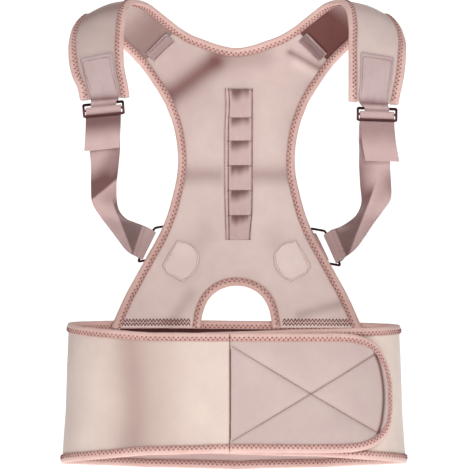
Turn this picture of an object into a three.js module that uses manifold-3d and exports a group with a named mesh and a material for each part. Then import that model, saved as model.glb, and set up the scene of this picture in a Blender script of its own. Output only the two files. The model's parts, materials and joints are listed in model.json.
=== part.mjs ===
// Posture corrector: padded back panel with shoulder straps, webbing, rings and a waist belt.
// Millimetres, +Z up, the wearer faces -Y. The origin is the middle of the waist opening.
import * as THREE from "three";
import { mergeVertices } from "three/addons/utils/BufferGeometryUtils.js";
import Module from "manifold-3d";

const wasm = await Module();
wasm.setup();

// Driving sizes
const halfWidth = 165; // waist centre to the belt's widest point
const rise = 371; // waist centre to the top of the shoulder straps
const halfDepth = 95; // waist centre to the back panel
const sheet = 3; // padded cloth
const tape = 0.7; // folded edge tape
const webbingThickness = 1.3;
const gap = 0.3; // between neighbouring pieces
const tapeGap = 0.8; // folded tape to the cloth inside it
const tapeWidth = 8.5;
const roundness = 2.4; // exponent of the torso's oval
const layerStep = sheet + 2 * (tape + tapeGap) + 2 * gap; // belt layer to the layer under it
const patchThickness = 1.2;
const wireRadius = 1.2;

// Height of the torso's oval in shares of rise, half depth in shares of halfDepth, half width in shares of halfWidth
const torso = [
  { up: -0.22, wide: 0.96, deep: 0.99 },
  { up: -0.05, wide: 0.935, deep: 0.95 },
  { up: 0.18, wide: 0.915, deep: 0.94 },
  { up: 0.4, wide: 1, deep: 0.98 },
  { up: 0.6, wide: 1.1, deep: 1.03 },
  { up: 0.8, wide: 1.12, deep: 1.0 },
  { up: 0.9, wide: 1.12, deep: 0.93 },
  { up: 1, wide: 1.12, deep: 0.8 },
];

function column(table, key, value, name) {
  let i = 0;
  while (i < table.length - 2 && value > table[i + 1][key]) i++;
  const share = (value - table[i][key]) / (table[i + 1][key] - table[i][key]);
  return THREE.MathUtils.lerp(table[i][name], table[i + 1][name], THREE.MathUtils.clamp(share, 0, 1));
}

function ovalAt(z) {
  const up = z / rise;
  return { w: halfWidth * column(torso, "up", up, "wide"), d: halfDepth * column(torso, "up", up, "deep") };
}

// The back of the torso at a place of the panel
function backY(x, z) {
  const { w, d } = ovalAt(z);
  const share = Math.min(Math.abs(x) / w, 0.98);
  return d * (1 - share ** roundness) ** (1 / roundness);
}

const point = (x, y, z) => new THREE.Vector3(x, y, z);
const fromRow = (out, up, back, side) => point(side * out * halfWidth, back * halfDepth, up * rise);

// Grid of points from a map of u across and v along, built on a plane's vertices
function gridOf(map, across, along) {
  const geometry = new THREE.PlaneGeometry(1, 1, across, along);
  const position = geometry.getAttribute("position");
  for (let k = 0; k < position.count; k++) {
    const p = map(position.getX(k) + 0.5, 0.5 - position.getY(k));
    position.setXYZ(k, p.x, p.y, p.z);
  }
  geometry.deleteAttribute("uv");
  geometry.computeVertexNormals();
  const normal = geometry.getAttribute("normal");
  const rows = [];
  for (let j = 0; j <= along; j++) {
    const row = [];
    for (let i = 0; i <= across; i++) {
      const k = j * (across + 1) + i;
      row.push({
        p: new THREE.Vector3().fromBufferAttribute(position, k),
        n: new THREE.Vector3().fromBufferAttribute(normal, k),
      });
    }
    rows.push(row);
  }
  return { geometry, rows };
}

function solidFrom(positions, faces) {
  const volume = faces.reduce((sum, [a, b, c]) => {
    const [pa, pb, pc] = [a, b, c].map((k) => point(...positions.slice(3 * k, 3 * k + 3)));
    return sum + pa.dot(pb.cross(pc)) / 6;
  }, 0);
  const geometry = new THREE.BufferGeometry();
  geometry.setAttribute("position", new THREE.Float32BufferAttribute(positions, 3));
  geometry.setIndex(faces.flatMap(([a, b, c]) => (volume < 0 ? [a, c, b] : [a, b, c])));
  return geometry;
}

// Closed solid of even thickness about an open surface, moved along its normals by lift
function thicken(surface, thickness, lift = 0) {
  const bare = surface.clone();
  bare.deleteAttribute("normal");
  const merged = mergeVertices(bare, 1e-3);
  merged.computeVertexNormals();
  const { position, normal } = merged.attributes;
  const count = position.count;
  const positions = [];
  for (const distance of [lift + thickness / 2, lift - thickness / 2])
    for (let k = 0; k < count; k++) {
      const p = new THREE.Vector3().fromBufferAttribute(position, k);
      p.addScaledVector(new THREE.Vector3().fromBufferAttribute(normal, k), distance);
      positions.push(p.x, p.y, p.z);
    }
  const faces = [];
  const edges = new Map();
  for (let t = 0; t < merged.index.count; t += 3) {
    const [a, b, c] = [0, 1, 2].map((k) => merged.index.getX(t + k));
    if (a === b || b === c || a === c) continue;
    faces.push([a, b, c], [a + count, c + count, b + count]);
    for (const [s, e] of [[a, b], [b, c], [c, a]]) edges.set(s + "_" + e, [s, e]);
  }
  for (const [s, e] of edges.values())
    if (!edges.has(e + "_" + s)) faces.push([e, s, s + count], [e, s + count, e + count]);
  return solidFrom(positions, faces);
}

// Folded tape about an edge: samples hold the edge point p with normal n, and the point q with normal m on the inside
function bindingOf(samples) {
  const inner = sheet / 2 + tapeGap;
  const outer = inner + tape;
  const ring = (s) => {
    const inward = s.q.clone().sub(s.p).normalize();
    const at = (base, n, along, out) => base.clone().addScaledVector(inward, along).addScaledVector(n, out);
    const lip = -tapeGap - tape;
    return [
      at(s.q, s.m, 0, outer),
      at(s.p, s.n, lip, outer),
      at(s.p, s.n, lip, -outer),
      at(s.q, s.m, 0, -outer),
      at(s.q, s.m, 0, -inner),
      at(s.p, s.n, -tapeGap, -inner),
      at(s.p, s.n, -tapeGap, inner),
      at(s.q, s.m, 0, inner),
    ];
  };
  const rings = samples.map(ring);
  const positions = rings.flatMap((r) => r.flatMap((p) => [p.x, p.y, p.z]));
  const faces = [];
  for (let j = 0; j < rings.length - 1; j++)
    for (let i = 0; i < 8; i++) {
      const [a, b] = [8 * j + i, 8 * j + ((i + 1) % 8)];
      faces.push([a, b, b + 8], [a, b + 8, a + 8]);
    }
  const cap = (base, flip) => {
    for (const [a, b, c] of [[0, 1, 6], [0, 6, 7], [1, 2, 5], [1, 5, 6], [2, 3, 4], [2, 4, 5]])
      faces.push(flip ? [base + a, base + b, base + c] : [base + a, base + c, base + b]);
  };
  cap(0, false);
  cap(8 * (rings.length - 1), true);
  return solidFrom(positions, faces);
}

// Samples for a tape from two neighbouring lines of a grid, edge first
function edgeSamples(edge, next) {
  return edge.map((e, k) => {
    const share = (tapeWidth - tape - tapeGap) / e.p.distanceTo(next[k].p);
    return {
      p: e.p.clone(),
      n: e.n.clone(),
      q: e.p.clone().lerp(next[k].p, share),
      m: e.n.clone().lerp(next[k].n, share).normalize(),
    };
  });
}

const columnOf = (grid, i) => grid.rows.map((row) => row[i]);
const smooth = (points) => new THREE.CatmullRomCurve3(points, false, "centripetal");

const group = new THREE.Group();
const cloth = { color: 0xd6c4bc, roughness: 0.9, metalness: 0 };
const edging = { color: 0xe0b8ae, roughness: 0.85, metalness: 0 };
const satin = { color: 0xbea09e, roughness: 0.6, metalness: 0 };
const metal = { color: 0x3c1e23, roughness: 0.35, metalness: 1 };

function add(name, geometry, look) {
  const mesh = new THREE.Mesh(geometry, new THREE.MeshStandardMaterial(look));
  mesh.name = name;
  group.add(mesh);
}

// Half of the back panel, bottom to top: inner edge (arch, middle, neckline) and outer edge (side, armhole)
const panelRows = [
  { inOut: 0.22, inUp: 0.16, out: 0.721, up: 0.161 },
  { inOut: 0.205, inUp: 0.2, out: 0.672, up: 0.212 },
  { inOut: 0.175, inUp: 0.232, out: 0.634, up: 0.249 },
  { inOut: 0.11, inUp: 0.26, out: 0.605, up: 0.272 },
  { inOut: 0, inUp: 0.273, out: 0.575, up: 0.297 },
  { inOut: 0, inUp: 0.34, out: 0.519, up: 0.342 },
  { inOut: 0, inUp: 0.42, out: 0.425, up: 0.42 },
  { inOut: 0, inUp: 0.5, out: 0.367, up: 0.499 },
  { inOut: 0, inUp: 0.585, out: 0.334, up: 0.585 },
  { inOut: 0, inUp: 0.67, out: 0.35, up: 0.665 },
  { inOut: 0, inUp: 0.77, out: 0.4, up: 0.735 },
  { inOut: 0, inUp: 0.885, out: 0.455, up: 0.78 },
  { inOut: 0.097, inUp: 0.892, out: 0.478, up: 0.795 },
  { inOut: 0.185, inUp: 0.905, out: 0.501, up: 0.811 },
  { inOut: 0.272, inUp: 0.92, out: 0.53, up: 0.829 },
  { inOut: 0.345, inUp: 0.94, out: 0.559, up: 0.846 },
];
const archTop = 4; // row of the panel table at the top of the arch
const neckStart = 11; // row at the middle of the neckline
const lastRow = panelRows.length - 1;
const innerPoint = (r, side = 1) => point(side * r.inOut, 0, r.inUp);
const archRows = panelRows.slice(0, archTop + 1);
const neckRows = panelRows.slice(neckStart);
const archCurve = smooth([
  ...archRows.map((r) => innerPoint(r)),
  ...archRows.slice(0, -1).reverse().map((r) => innerPoint(r, -1)),
]);
const neckCurve = smooth([
  ...neckRows.slice(1).reverse().map((r) => innerPoint(r, -1)),
  ...neckRows.map((r) => innerPoint(r)),
]);
const outerCurve = smooth(panelRows.map((r) => point(r.out, 0, r.up)));

// The panel's two edges at a row number, in shares
function panelEdges(row) {
  const outer = outerCurve.getPoint(row / lastRow);
  const neckSpan = lastRow - neckStart;
  if (row < archTop) return { inner: archCurve.getPoint(row / (2 * archTop)), outer };
  if (row > neckStart) return { inner: neckCurve.getPoint(0.5 + (row - neckStart) / (2 * neckSpan)), outer };
  const rows = [Math.floor(row), Math.ceil(row)].map((k) => panelRows[k].inUp);
  return { inner: point(0, 0, THREE.MathUtils.lerp(rows[0], rows[1], row % 1)), outer };
}

function onBack(x, z, lift = 0) {
  const step = 0.5;
  const fx = (backY(x + step, z) - backY(x - step, z)) / (2 * step);
  const fz = (backY(x, z + step) - backY(x, z - step)) / (2 * step);
  const n = point(fx, -1, fz).normalize();
  return { p: point(x, backY(x, z), z).addScaledVector(n, lift), n };
}

const panelStops = [0, 0.1, 0.24, 0.5, 0.76, 0.9, 1]; // shares across a half, closer at its edges
const panelAcross = panelStops.length - 1;
const panelAlong = 2 * lastRow;
function panelHalf(side) {
  return gridOf(
    (u, v) => {
      const { inner, outer } = panelEdges(v * lastRow);
      const stop = panelStops[Math.round(u * panelAcross)];
      const at = inner.lerp(outer, side < 0 ? 1 - stop : stop);
      return onBack(side * at.x * halfWidth, at.z * rise).p;
    },
    panelAcross,
    panelAlong,
  );
}

function joined(grids) {
  const positions = [];
  const index = [];
  for (const { geometry } of grids) {
    const base = positions.length / 3;
    positions.push(...geometry.getAttribute("position").array);
    index.push(...Array.from(geometry.index.array, (k) => k + base));
  }
  const geometry = new THREE.BufferGeometry();
  geometry.setAttribute("position", new THREE.Float32BufferAttribute(positions, 3));
  geometry.setIndex(index);
  return geometry;
}
add("back_panel", thicken(joined([panelHalf(-1), panelHalf(1)]), sheet), cloth);

// Tape samples along the panel's edge between two rows; turn is +1 when the cloth lies left of the way
function panelEdgeSamples(which, side, from, to, turn) {
  const samples = [];
  const steps = Math.round(2 * Math.abs(to - from));
  const flat = (row) => {
    const e = panelEdges(THREE.MathUtils.clamp(row, 0, lastRow))[which];
    return new THREE.Vector2(side * e.x * halfWidth, e.z * rise);
  };
  for (let k = 0; k <= steps; k++) {
    const row = THREE.MathUtils.lerp(from, to, k / steps);
    const here = flat(row);
    const lo = Math.min(from, to);
    const hi = Math.max(from, to);
    const a = flat(Math.max(row - 0.5, lo));
    const b = flat(Math.min(row + 0.5, hi));
    const way = b.sub(a).normalize();
    if (which === "inner" && (row === archTop || row === neckStart)) way.set(side * (row === archTop ? -1 : 1), 0);
    const inward = new THREE.Vector2(-way.y, way.x).multiplyScalar(turn * side);
    const q = here.clone().addScaledVector(inward, tapeWidth - tape - tapeGap);
    const edge = onBack(here.x, here.y);
    const inside = onBack(q.x, q.y);
    samples.push({ p: edge.p, n: edge.n, q: inside.p, m: inside.n });
  }
  return samples;
}

// Strap sections from the panel over the shoulder to the slider: neck edge, then arm edge
const strapBack = [
  { out: 0.429, up: 0.969, back: 0.716, armOut: 0.628, armUp: 0.877, armBack: 0.758 },
  { out: 0.509, up: 0.995, back: 0.547, armOut: 0.725, armUp: 0.915, armBack: 0.579 },
  { out: 0.565, up: 1.002, back: 0.379, armOut: 0.821, armUp: 0.945, armBack: 0.4 },
  { out: 0.604, up: 1.0, back: 0.22, armOut: 0.888, armUp: 0.956, armBack: 0.22 },
];
const strapFront = {
  right: [
    { out: 0.631, up: 0.98, back: 0.042, armOut: 0.933, armUp: 0.932, armBack: 0.021 },
    { out: 0.649, up: 0.941, back: -0.126, armOut: 0.953, armUp: 0.897, armBack: -0.147 },
    { out: 0.656, up: 0.886, back: -0.274, armOut: 0.953, armUp: 0.855, armBack: -0.295 },
    { out: 0.649, up: 0.826, back: -0.389, armOut: 0.934, armUp: 0.809, armBack: -0.4 },
    { out: 0.628, up: 0.78, back: -0.474, armOut: 0.899, armUp: 0.775, armBack: -0.474 },
    { out: 0.619, up: 0.752, back: -0.51, armOut: 0.884, armUp: 0.744, armBack: -0.51 },
  ],
  left: [
    { out: 0.637, up: 0.982, back: 0.042, armOut: 0.936, armUp: 0.932, armBack: 0.021 },
    { out: 0.652, up: 0.941, back: -0.126, armOut: 0.962, armUp: 0.897, armBack: -0.147 },
    { out: 0.65, up: 0.886, back: -0.274, armOut: 0.962, armUp: 0.86, armBack: -0.295 },
    { out: 0.649, up: 0.826, back: -0.389, armOut: 0.951, armUp: 0.809, armBack: -0.4 },
    { out: 0.648, up: 0.775, back: -0.474, armOut: 0.93, armUp: 0.767, armBack: -0.474 },
    { out: 0.647, up: 0.741, back: -0.51, armOut: 0.915, armUp: 0.733, armBack: -0.51 },
  ],
};
const sides = { right: -1, left: 1 };
const strapAcross = 4;
const crown = 3.6; // rise of a strap's middle over its edges on the shoulder

function strapCurves(name) {
  const side = sides[name];
  const rows = [...strapBack, ...strapFront[name]];
  const root = panelEdges(lastRow);
  const start = [root.inner, root.outer].map((e) => onBack(side * e.x * halfWidth, e.z * rise).p);
  const neck = smooth([start[0], ...rows.map((r) => fromRow(r.out, r.up, r.back, side))]);
  const arm = smooth([start[1], ...rows.map((r) => fromRow(r.armOut, r.armUp, r.armBack, side))]);
  return { neck, arm };
}

// Place on a strap: u from the neck edge to the arm edge, v from the panel to the slider
function strapMap(name) {
  const { neck, arm } = strapCurves(name);
  return (u, v) => {
    const p = neck.getPoint(v).lerp(arm.getPoint(v), u);
    p.z += crown * Math.sin(Math.PI * u) * Math.sin(Math.PI * Math.min(v * 1.3, 1)) ** 2;
    return p;
  };
}

const straps = {};
for (const [name, side] of Object.entries(sides)) {
  const map = strapMap(name);
  const start = 0.004;
  const grid = gridOf((u, v) => map(side > 0 ? u : 1 - u, start + (1 - start) * v), strapAcross, 18);
  straps[name] = { map, grid };
  add("strap_" + name, thicken(grid.geometry, sheet), cloth);
}

// Strap samples along one edge, with normals turned to the wearer's side at the panel
function strapEdgeSamples(name, atNeck) {
  const { grid } = straps[name];
  const first = atNeck === (sides[name] > 0) ? 0 : strapAcross;
  const second = first === 0 ? 1 : strapAcross - 1;
  const samples = edgeSamples(columnOf(grid, first), columnOf(grid, second));
  if (samples[0].n.y > 0) for (const s of samples) [s.n, s.m] = [s.n.negate(), s.m.negate()];
  return samples;
}

// One run of samples from the panel to the strap, with the two at the root made one
function runOn(panel, strap) {
  const [a, b] = [panel[panel.length - 1], strap[0]];
  const root = {
    p: a.p.clone().lerp(b.p, 0.5),
    n: a.n.clone().add(b.n).normalize(),
    q: a.q.clone().lerp(b.q, 0.5),
    m: a.m.clone().add(b.m).normalize(),
  };
  return [...panel.slice(0, -1), root, ...strap.slice(1)];
}

for (const [name, side] of Object.entries(sides)) {
  const way = panelEdgeSamples("outer", side, 0, lastRow, 1);
  add("binding_side_" + name, bindingOf(runOn(way, strapEdgeSamples(name, false))), edging);
}
const neckHalf = (name) =>
  runOn(panelEdgeSamples("inner", sides[name], neckStart, lastRow, -1), strapEdgeSamples(name, true));
add("binding_neck", bindingOf([...neckHalf("right").reverse(), ...neckHalf("left").slice(1)]), edging);
const archHalf = (name) => panelEdgeSamples("inner", sides[name], 0, archTop, -1);
add("binding_arch", bindingOf([...archHalf("right"), ...archHalf("left").reverse().slice(1)]), edging);

// Waist belt: turn is 0 at the front middle, 0.25 at the wearer's right, 0.5 at the back
const beltRows = [
  { turn: 0, top: 0.152, bottom: -0.14 },
  { turn: 0.12, top: 0.1525, bottom: -0.148 },
  { turn: 0.25, top: 0.174, bottom: -0.18 },
  { turn: 0.38, top: 0.176, bottom: -0.2 },
  { turn: 0.5, top: 0.174, bottom: -0.2065 },
  { turn: 0.62, top: 0.172, bottom: -0.2 },
  { turn: 0.75, top: 0.167, bottom: -0.178 },
  { turn: 0.88, top: 0.161, bottom: -0.152 },
  { turn: 1.1, top: 0.15, bottom: -0.14 },
];
const flapStart = -0.04; // across, share of halfWidth
const bandEnd = -0.2; // hidden end of the band under the flap, share of halfWidth
const stepDown = { from: 0.67, to: 0.79 }; // turns where the band goes under the flap's layer

function onOval(turn, z, lift) {
  const angle = 2 * Math.PI * turn;
  const { w, d } = ovalAt(z);
  const [sx, sy] = [-Math.sin(angle), -Math.cos(angle)];
  const sum = (Math.abs(sx) / (w + lift)) ** roundness + (Math.abs(sy) / (d + lift)) ** roundness;
  const r = sum ** (-1 / roundness);
  return point(r * sx, r * sy, z);
}

function onBelt(turn, z, lift) {
  const p = onOval(turn, z, lift);
  const around = onOval(turn + 0.002, z, lift).sub(onOval(turn - 0.002, z, lift));
  const up = onOval(turn, z + 0.5, lift).sub(onOval(turn, z - 0.5, lift));
  return { p, n: up.cross(around).normalize().negate() };
}

// Turn at which the front of the belt is at a place across
function turnAt(x, lift) {
  const { w, d } = ovalAt(0);
  const y = (d + lift) * (1 - (Math.abs(x) / (w + lift)) ** roundness) ** (1 / roundness);
  return Math.atan2(-x, y) / (2 * Math.PI);
}

const bandLift = (turn) => layerStep * (1 - THREE.MathUtils.smoothstep(turn, stepDown.from, stepDown.to));
const bandFrom = turnAt(flapStart * halfWidth, layerStep);
const bandTo = 1 + turnAt(bandEnd * halfWidth, 0);
const bandSteps = 54;
const bandTurn = (k) => THREE.MathUtils.lerp(bandFrom, bandTo, k / bandSteps);
const bandEdge = (turn, which) => rise * column(beltRows, "turn", turn, which);
const bandGrid = gridOf(
  (u, v) => {
    const turn = bandTurn(u * bandSteps);
    const z = THREE.MathUtils.lerp(bandEdge(turn, "bottom"), bandEdge(turn, "top"), v);
    return onOval(turn, z, bandLift(turn));
  },
  bandSteps,
  4,
);
add("belt_band", thicken(bandGrid.geometry, sheet), cloth);

for (const [which, inward] of [["top", -1], ["bottom", 1]]) {
  const samples = [];
  for (let k = 0; k <= bandSteps; k++) {
    const turn = bandTurn(k);
    const z = bandEdge(turn, which);
    const edge = onBelt(turn, z, bandLift(turn));
    const inside = onBelt(turn, z + inward * (tapeWidth - tape - tapeGap), bandLift(turn));
    samples.push({ p: edge.p, n: edge.n, q: inside.p, m: inside.n });
  }
  add("binding_belt_" + which, bindingOf(samples), edging);
}

// Closure flap over the band: places across in shares of halfWidth, edges in shares of rise
const flapRows = [
  { out: flapStart, top: 0.152, bottom: -0.141 },
  { out: 0.1, top: 0.152, bottom: -0.141 },
  { out: 0.22, top: 0.1518, bottom: -0.1415 },
  { out: 0.34, top: 0.1515, bottom: -0.142 },
  { out: 0.46, top: 0.151, bottom: -0.1424 },
  { out: 0.587, top: 0.1505, bottom: -0.1424 },
  { out: 0.672, top: 0.1468, bottom: -0.1399 },
  { out: 0.74, top: 0.138, bottom: -0.1323 },
  { out: 0.797, top: 0.1216, bottom: -0.1185 },
  { out: 0.836, top: 0.0952, bottom: -0.1009 },
  { out: 0.862, top: 0.0626, bottom: -0.0758 },
  { out: 0.877, top: 0.0248, bottom: -0.0405 },
];
const flapSteps = 2 * (flapRows.length - 1);
const flapTop = smooth(flapRows.map((r) => point(r.out, 0, r.top)));
const flapBottom = smooth(flapRows.map((r) => point(r.out, 0, r.bottom)));
const seamGap = 2 * gap;
function flapPlace(k, v) {
  const at = flapBottom.getPoint(k / flapSteps).lerp(flapTop.getPoint(k / flapSteps), v);
  const x = at.x * halfWidth + (k === 0 ? seamGap : 0);
  return { turn: turnAt(x, layerStep), z: at.z * rise };
}
const flapUp = 6;
const flapGrid = gridOf(
  (u, v) => {
    const { turn, z } = flapPlace(u * flapSteps, v);
    return onOval(turn, z, layerStep);
  },
  flapSteps,
  flapUp,
);
add("closure_flap", thicken(flapGrid.geometry, sheet), cloth);

// Tape round the flap's top, end and bottom
const flapWay = [];
for (let k = 0; k <= flapSteps; k++) flapWay.push(flapPlace(k, 1));
for (let k = 1; k < flapUp; k++) flapWay.push(flapPlace(flapSteps, 1 - k / flapUp));
for (let k = flapSteps; k >= 0; k--) flapWay.push(flapPlace(k, 0));
const girth = 2 * Math.PI * 125; // length of a full turn where the flap is
const flapFlat = flapWay.map((w) => new THREE.Vector2(-w.turn * girth, w.z));
const flapSamples = flapWay.map((w, k) => {
  const a = flapFlat[Math.max(k - 1, 0)];
  const b = flapFlat[Math.min(k + 1, flapFlat.length - 1)];
  const way = b.clone().sub(a).normalize();
  const inward = new THREE.Vector2(way.y, -way.x).multiplyScalar(tapeWidth - tape - tapeGap);
  const edge = onBelt(w.turn, w.z, layerStep);
  const inside = onBelt(w.turn - inward.x / girth, w.z + inward.y, layerStep);
  return { p: edge.p, n: edge.n, q: inside.p, m: inside.n };
});
add("binding_flap", bindingOf(flapSamples), edging);

// Strip of six pockets down the middle of the back, on the wearer's side
const strip = { left: -0.074, right: 0.098, bottom: 0.389, top: 0.784, thick: 2.6, dent: 1.2 };
const stripSeams = [0, 0.16, 0.325, 0.49, 0.655, 0.81, 1]; // from the bottom, shares of the strip's length
const cushion = (v) => {
  const k = stripSeams.findIndex((s, i) => v <= stripSeams[i + 1] + 1e-6);
  return Math.sin((Math.PI * (v - stripSeams[k])) / (stripSeams[k + 1] - stripSeams[k]));
};
function stripPlace(u, v, lift) {
  const x = THREE.MathUtils.lerp(strip.left, strip.right, u) * halfWidth;
  const z = THREE.MathUtils.lerp(strip.bottom, strip.top, v) * rise;
  return onBack(x, z, lift).p;
}

// Closed solid between two maps over the same grid
function between(low, high, across, along) {
  const positions = [];
  for (const map of [high, low])
    for (let j = 0; j <= along; j++)
      for (let i = 0; i <= across; i++) {
        const p = map(i / across, j / along);
        positions.push(p.x, p.y, p.z);
      }
  const wide = across + 1;
  const count = wide * (along + 1);
  const faces = [];
  const quad = (a, b, c, d) => faces.push([a, b, c], [a, c, d]);
  for (let j = 0; j < along; j++)
    for (let i = 0; i < across; i++) {
      const k = j * wide + i;
      quad(k, k + 1, k + wide + 1, k + wide);
      quad(k + count, k + wide + count, k + wide + 1 + count, k + 1 + count);
    }
  const rim = [];
  for (let i = 0; i < across; i++) rim.push(i);
  for (let j = 0; j < along; j++) rim.push(j * wide + across);
  for (let i = across; i > 0; i--) rim.push(along * wide + i);
  for (let j = along; j > 0; j--) rim.push(j * wide);
  rim.forEach((a, k) => {
    const b = rim[(k + 1) % rim.length];
    quad(b, a, a + count, b + count);
  });
  return solidFrom(positions, faces);
}
const onSheet = sheet / 2 + 2.4 * gap; // lift of a piece's underside that lies on the cloth
add(
  "magnet_strip",
  between(
    (u, v) => stripPlace(u, v, onSheet),
    (u, v) => {
      const edge = Math.min(1, 4 * Math.min(u, 1 - u));
      return stripPlace(u, v, onSheet + strip.thick - strip.dent * (1 - edge * cushion(v)));
    },
    4,
    24,
  ),
  satin,
);

// Patches that hold the ring tabs: straight side, then curved side, top to bottom
const patchRows = [
  { out: 0.352, up: 0.388, inOut: 0.296, inUp: 0.382 },
  { out: 0.376, up: 0.37, inOut: 0.243, inUp: 0.366 },
  { out: 0.398, up: 0.354, inOut: 0.218, inUp: 0.345 },
  { out: 0.42, up: 0.337, inOut: 0.226, inUp: 0.32 },
  { out: 0.436, up: 0.32, inOut: 0.262, inUp: 0.296 },
  { out: 0.41, up: 0.3, inOut: 0.322, inUp: 0.279 },
];
const patchOuter = smooth(patchRows.map((r) => point(r.out, 0, r.up)));
const patchInner = smooth(patchRows.map((r) => point(r.inOut, 0, r.inUp)));
for (const [name, side] of Object.entries(sides)) {
  const place = (lift) => (u, v) => {
    const at = patchOuter.getPoint(v).lerp(patchInner.getPoint(v), u);
    return onBack(side * at.x * halfWidth, at.z * rise, lift).p;
  };
  add("side_patch_" + name, between(place(onSheet), place(onSheet + patchThickness), 5, 8), cloth);
}

// Bands sewn over the strap roots, between the tapes, half on the panel and half on the strap
const bandCover = { inside: 0.215, onPanel: 7.2, onStrap: 6.8, strapReach: 200, ease: 0.7 };
for (const [name, side] of Object.entries(sides)) {
  const { map } = straps[name];
  const { inner, outer } = panelEdges(lastRow);
  const root = (across) => inner.clone().lerp(outer, across);
  const flatWay = point(outer.x - inner.x, 0, outer.z - inner.z);
  const down = new THREE.Vector2(flatWay.z * rise, -flatWay.x * halfWidth).normalize();
  const place = (lift) => (u, v) => {
    const across = THREE.MathUtils.lerp(bandCover.inside, 1 - bandCover.inside, u);
    const reach = THREE.MathUtils.lerp(-bandCover.onPanel, bandCover.onStrap, v);
    const at = root(across);
    const flat = new THREE.Vector2(at.x * halfWidth, at.z * rise).add(down.clone().multiplyScalar(Math.max(-reach, 0)));
    const onPanel = onBack(side * flat.x, flat.y, lift);
    if (reach <= 0) return onPanel.p;
    const along = reach / bandCover.strapReach;
    const p = map(across, along);
    const a = map(across + 0.05, along).sub(map(across - 0.05, along));
    const b = map(across, along + 0.02).sub(map(across, along));
    const n = a.cross(b).normalize();
    if (n.y > 0) n.negate();
    n.lerp(onPanel.n, Math.max(0, 1 - reach / bandCover.onStrap)).normalize();
    return p.addScaledVector(n, lift + bandCover.ease * Math.min(1, reach));
  };
  add("join_band_" + name, between(place(onSheet), place(onSheet + patchThickness), 4, 6), cloth);
}

// Slider bars: the middle bar runs from the arm side to the neck side
const barRows = {
  right: { out: 0.858, up: 0.7163, inOut: 0.658, inUp: 0.7252 },
  left: { out: 0.898, up: 0.706, inOut: 0.704, inUp: 0.7087 },
};
const bar = { back: -0.5326, step: 7.3, tilt: 41, half: 0.9, wide: 2, side: 2.2, clear: 1, corner: 1.5 };
const roll = 2.3; // middle of the webbing to the middle of the slider's bar

function barOf(name) {
  const r = barRows[name];
  const arm = fromRow(r.out, r.up, bar.back, sides[name]);
  const neck = fromRow(r.inOut, r.inUp, bar.back, sides[name]);
  return { arm, neck, way: neck.clone().sub(arm).normalize() };
}

for (const [name] of Object.entries(sides)) {
  const { arm, neck, way } = barOf(name);
  const halfLong = arm.distanceTo(neck) / 2 + bar.clear;
  const outside = new THREE.Shape();
  const cut = bar.corner;
  const [w, h] = [halfLong + bar.side, bar.step + bar.wide / 2];
  outside.moveTo(-w, -h + cut).lineTo(-w + cut, -h).lineTo(w - cut, -h).lineTo(w, -h + cut);
  outside.lineTo(w, h - cut).lineTo(w - cut, h).lineTo(-w + cut, h).lineTo(-w, h - cut).closePath();
  for (const sign of [-1, 1]) {
    const [a, b] = [(sign * bar.wide) / 2, sign * (bar.step - bar.wide / 2)];
    const hole = new THREE.Path();
    hole.moveTo(-halfLong, a).lineTo(halfLong, a).lineTo(halfLong, b).lineTo(-halfLong, b).closePath();
    outside.holes.push(hole);
  }
  const frame = new THREE.ExtrudeGeometry(outside, { depth: 2 * bar.half, bevelEnabled: false });
  frame.translate(0, 0, -bar.half);
  const x = way.clone().multiplyScalar(way.x < 0 ? -1 : 1);
  const upright = new THREE.Vector3(0, 0, 1).addScaledVector(x, -x.z).normalize();
  const backwards = x.clone().cross(upright).negate();
  const tilt = THREE.MathUtils.degToRad(bar.tilt);
  const up = upright.clone().multiplyScalar(Math.cos(tilt)).addScaledVector(backwards, Math.sin(tilt));
  const basis = new THREE.Matrix4().makeBasis(x, up, x.clone().cross(up));
  basis.setPosition(arm.clone().lerp(neck, 0.5));
  frame.applyMatrix4(basis);
  add("slider_" + name, frame, metal);
}

// Webbing from below the slider to the ring: outer edge, then the other edge
const webbingRows = {
  right: [
    { out: 0.847, up: 0.668, back: -0.52, inOut: 0.664, inUp: 0.668, inBack: -0.52 },
    { out: 0.838, up: 0.618, back: -0.51, inOut: 0.664, inUp: 0.618, inBack: -0.51 },
    { out: 0.83, up: 0.575, back: -0.484, inOut: 0.673, inUp: 0.575, inBack: -0.484 },
    { out: 0.831, up: 0.529, back: -0.442, inOut: 0.685, inUp: 0.524, inBack: -0.432 },
    { out: 0.826, up: 0.486, back: -0.358, inOut: 0.678, inUp: 0.471, inBack: -0.295 },
    { out: 0.783, up: 0.45, back: -0.211, inOut: 0.636, inUp: 0.443, inBack: -0.021 },
    { out: 0.734, up: 0.42, back: -0.032, inOut: 0.592, inUp: 0.434, inBack: 0.189 },
    { out: 0.685, up: 0.389, back: 0.211, inOut: 0.548, inUp: 0.427, inBack: 0.421 },
    { out: 0.631, up: 0.358, back: 0.495, inOut: 0.51, inUp: 0.42, inBack: 0.632 },
  ],
  left: [
    { out: 0.887, up: 0.656, back: -0.52, inOut: 0.696, inUp: 0.656, inBack: -0.52 },
    { out: 0.881, up: 0.618, back: -0.51, inOut: 0.699, inUp: 0.618, inBack: -0.51 },
    { out: 0.876, up: 0.58, back: -0.484, inOut: 0.699, inUp: 0.58, inBack: -0.484 },
    { out: 0.882, up: 0.537, back: -0.453, inOut: 0.705, inUp: 0.532, inBack: -0.442 },
    { out: 0.883, up: 0.496, back: -0.379, inOut: 0.715, inUp: 0.486, inBack: -0.316 },
    { out: 0.84, up: 0.463, back: -0.232, inOut: 0.687, inUp: 0.451, inBack: -0.042 },
    { out: 0.785, up: 0.428, back: -0.053, inOut: 0.638, inUp: 0.432, inBack: 0.168 },
    { out: 0.734, up: 0.392, back: 0.189, inOut: 0.595, inUp: 0.421, inBack: 0.4 },
    { out: 0.683, up: 0.361, back: 0.474, inOut: 0.55, inUp: 0.414, inBack: 0.611 },
  ],
};
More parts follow.
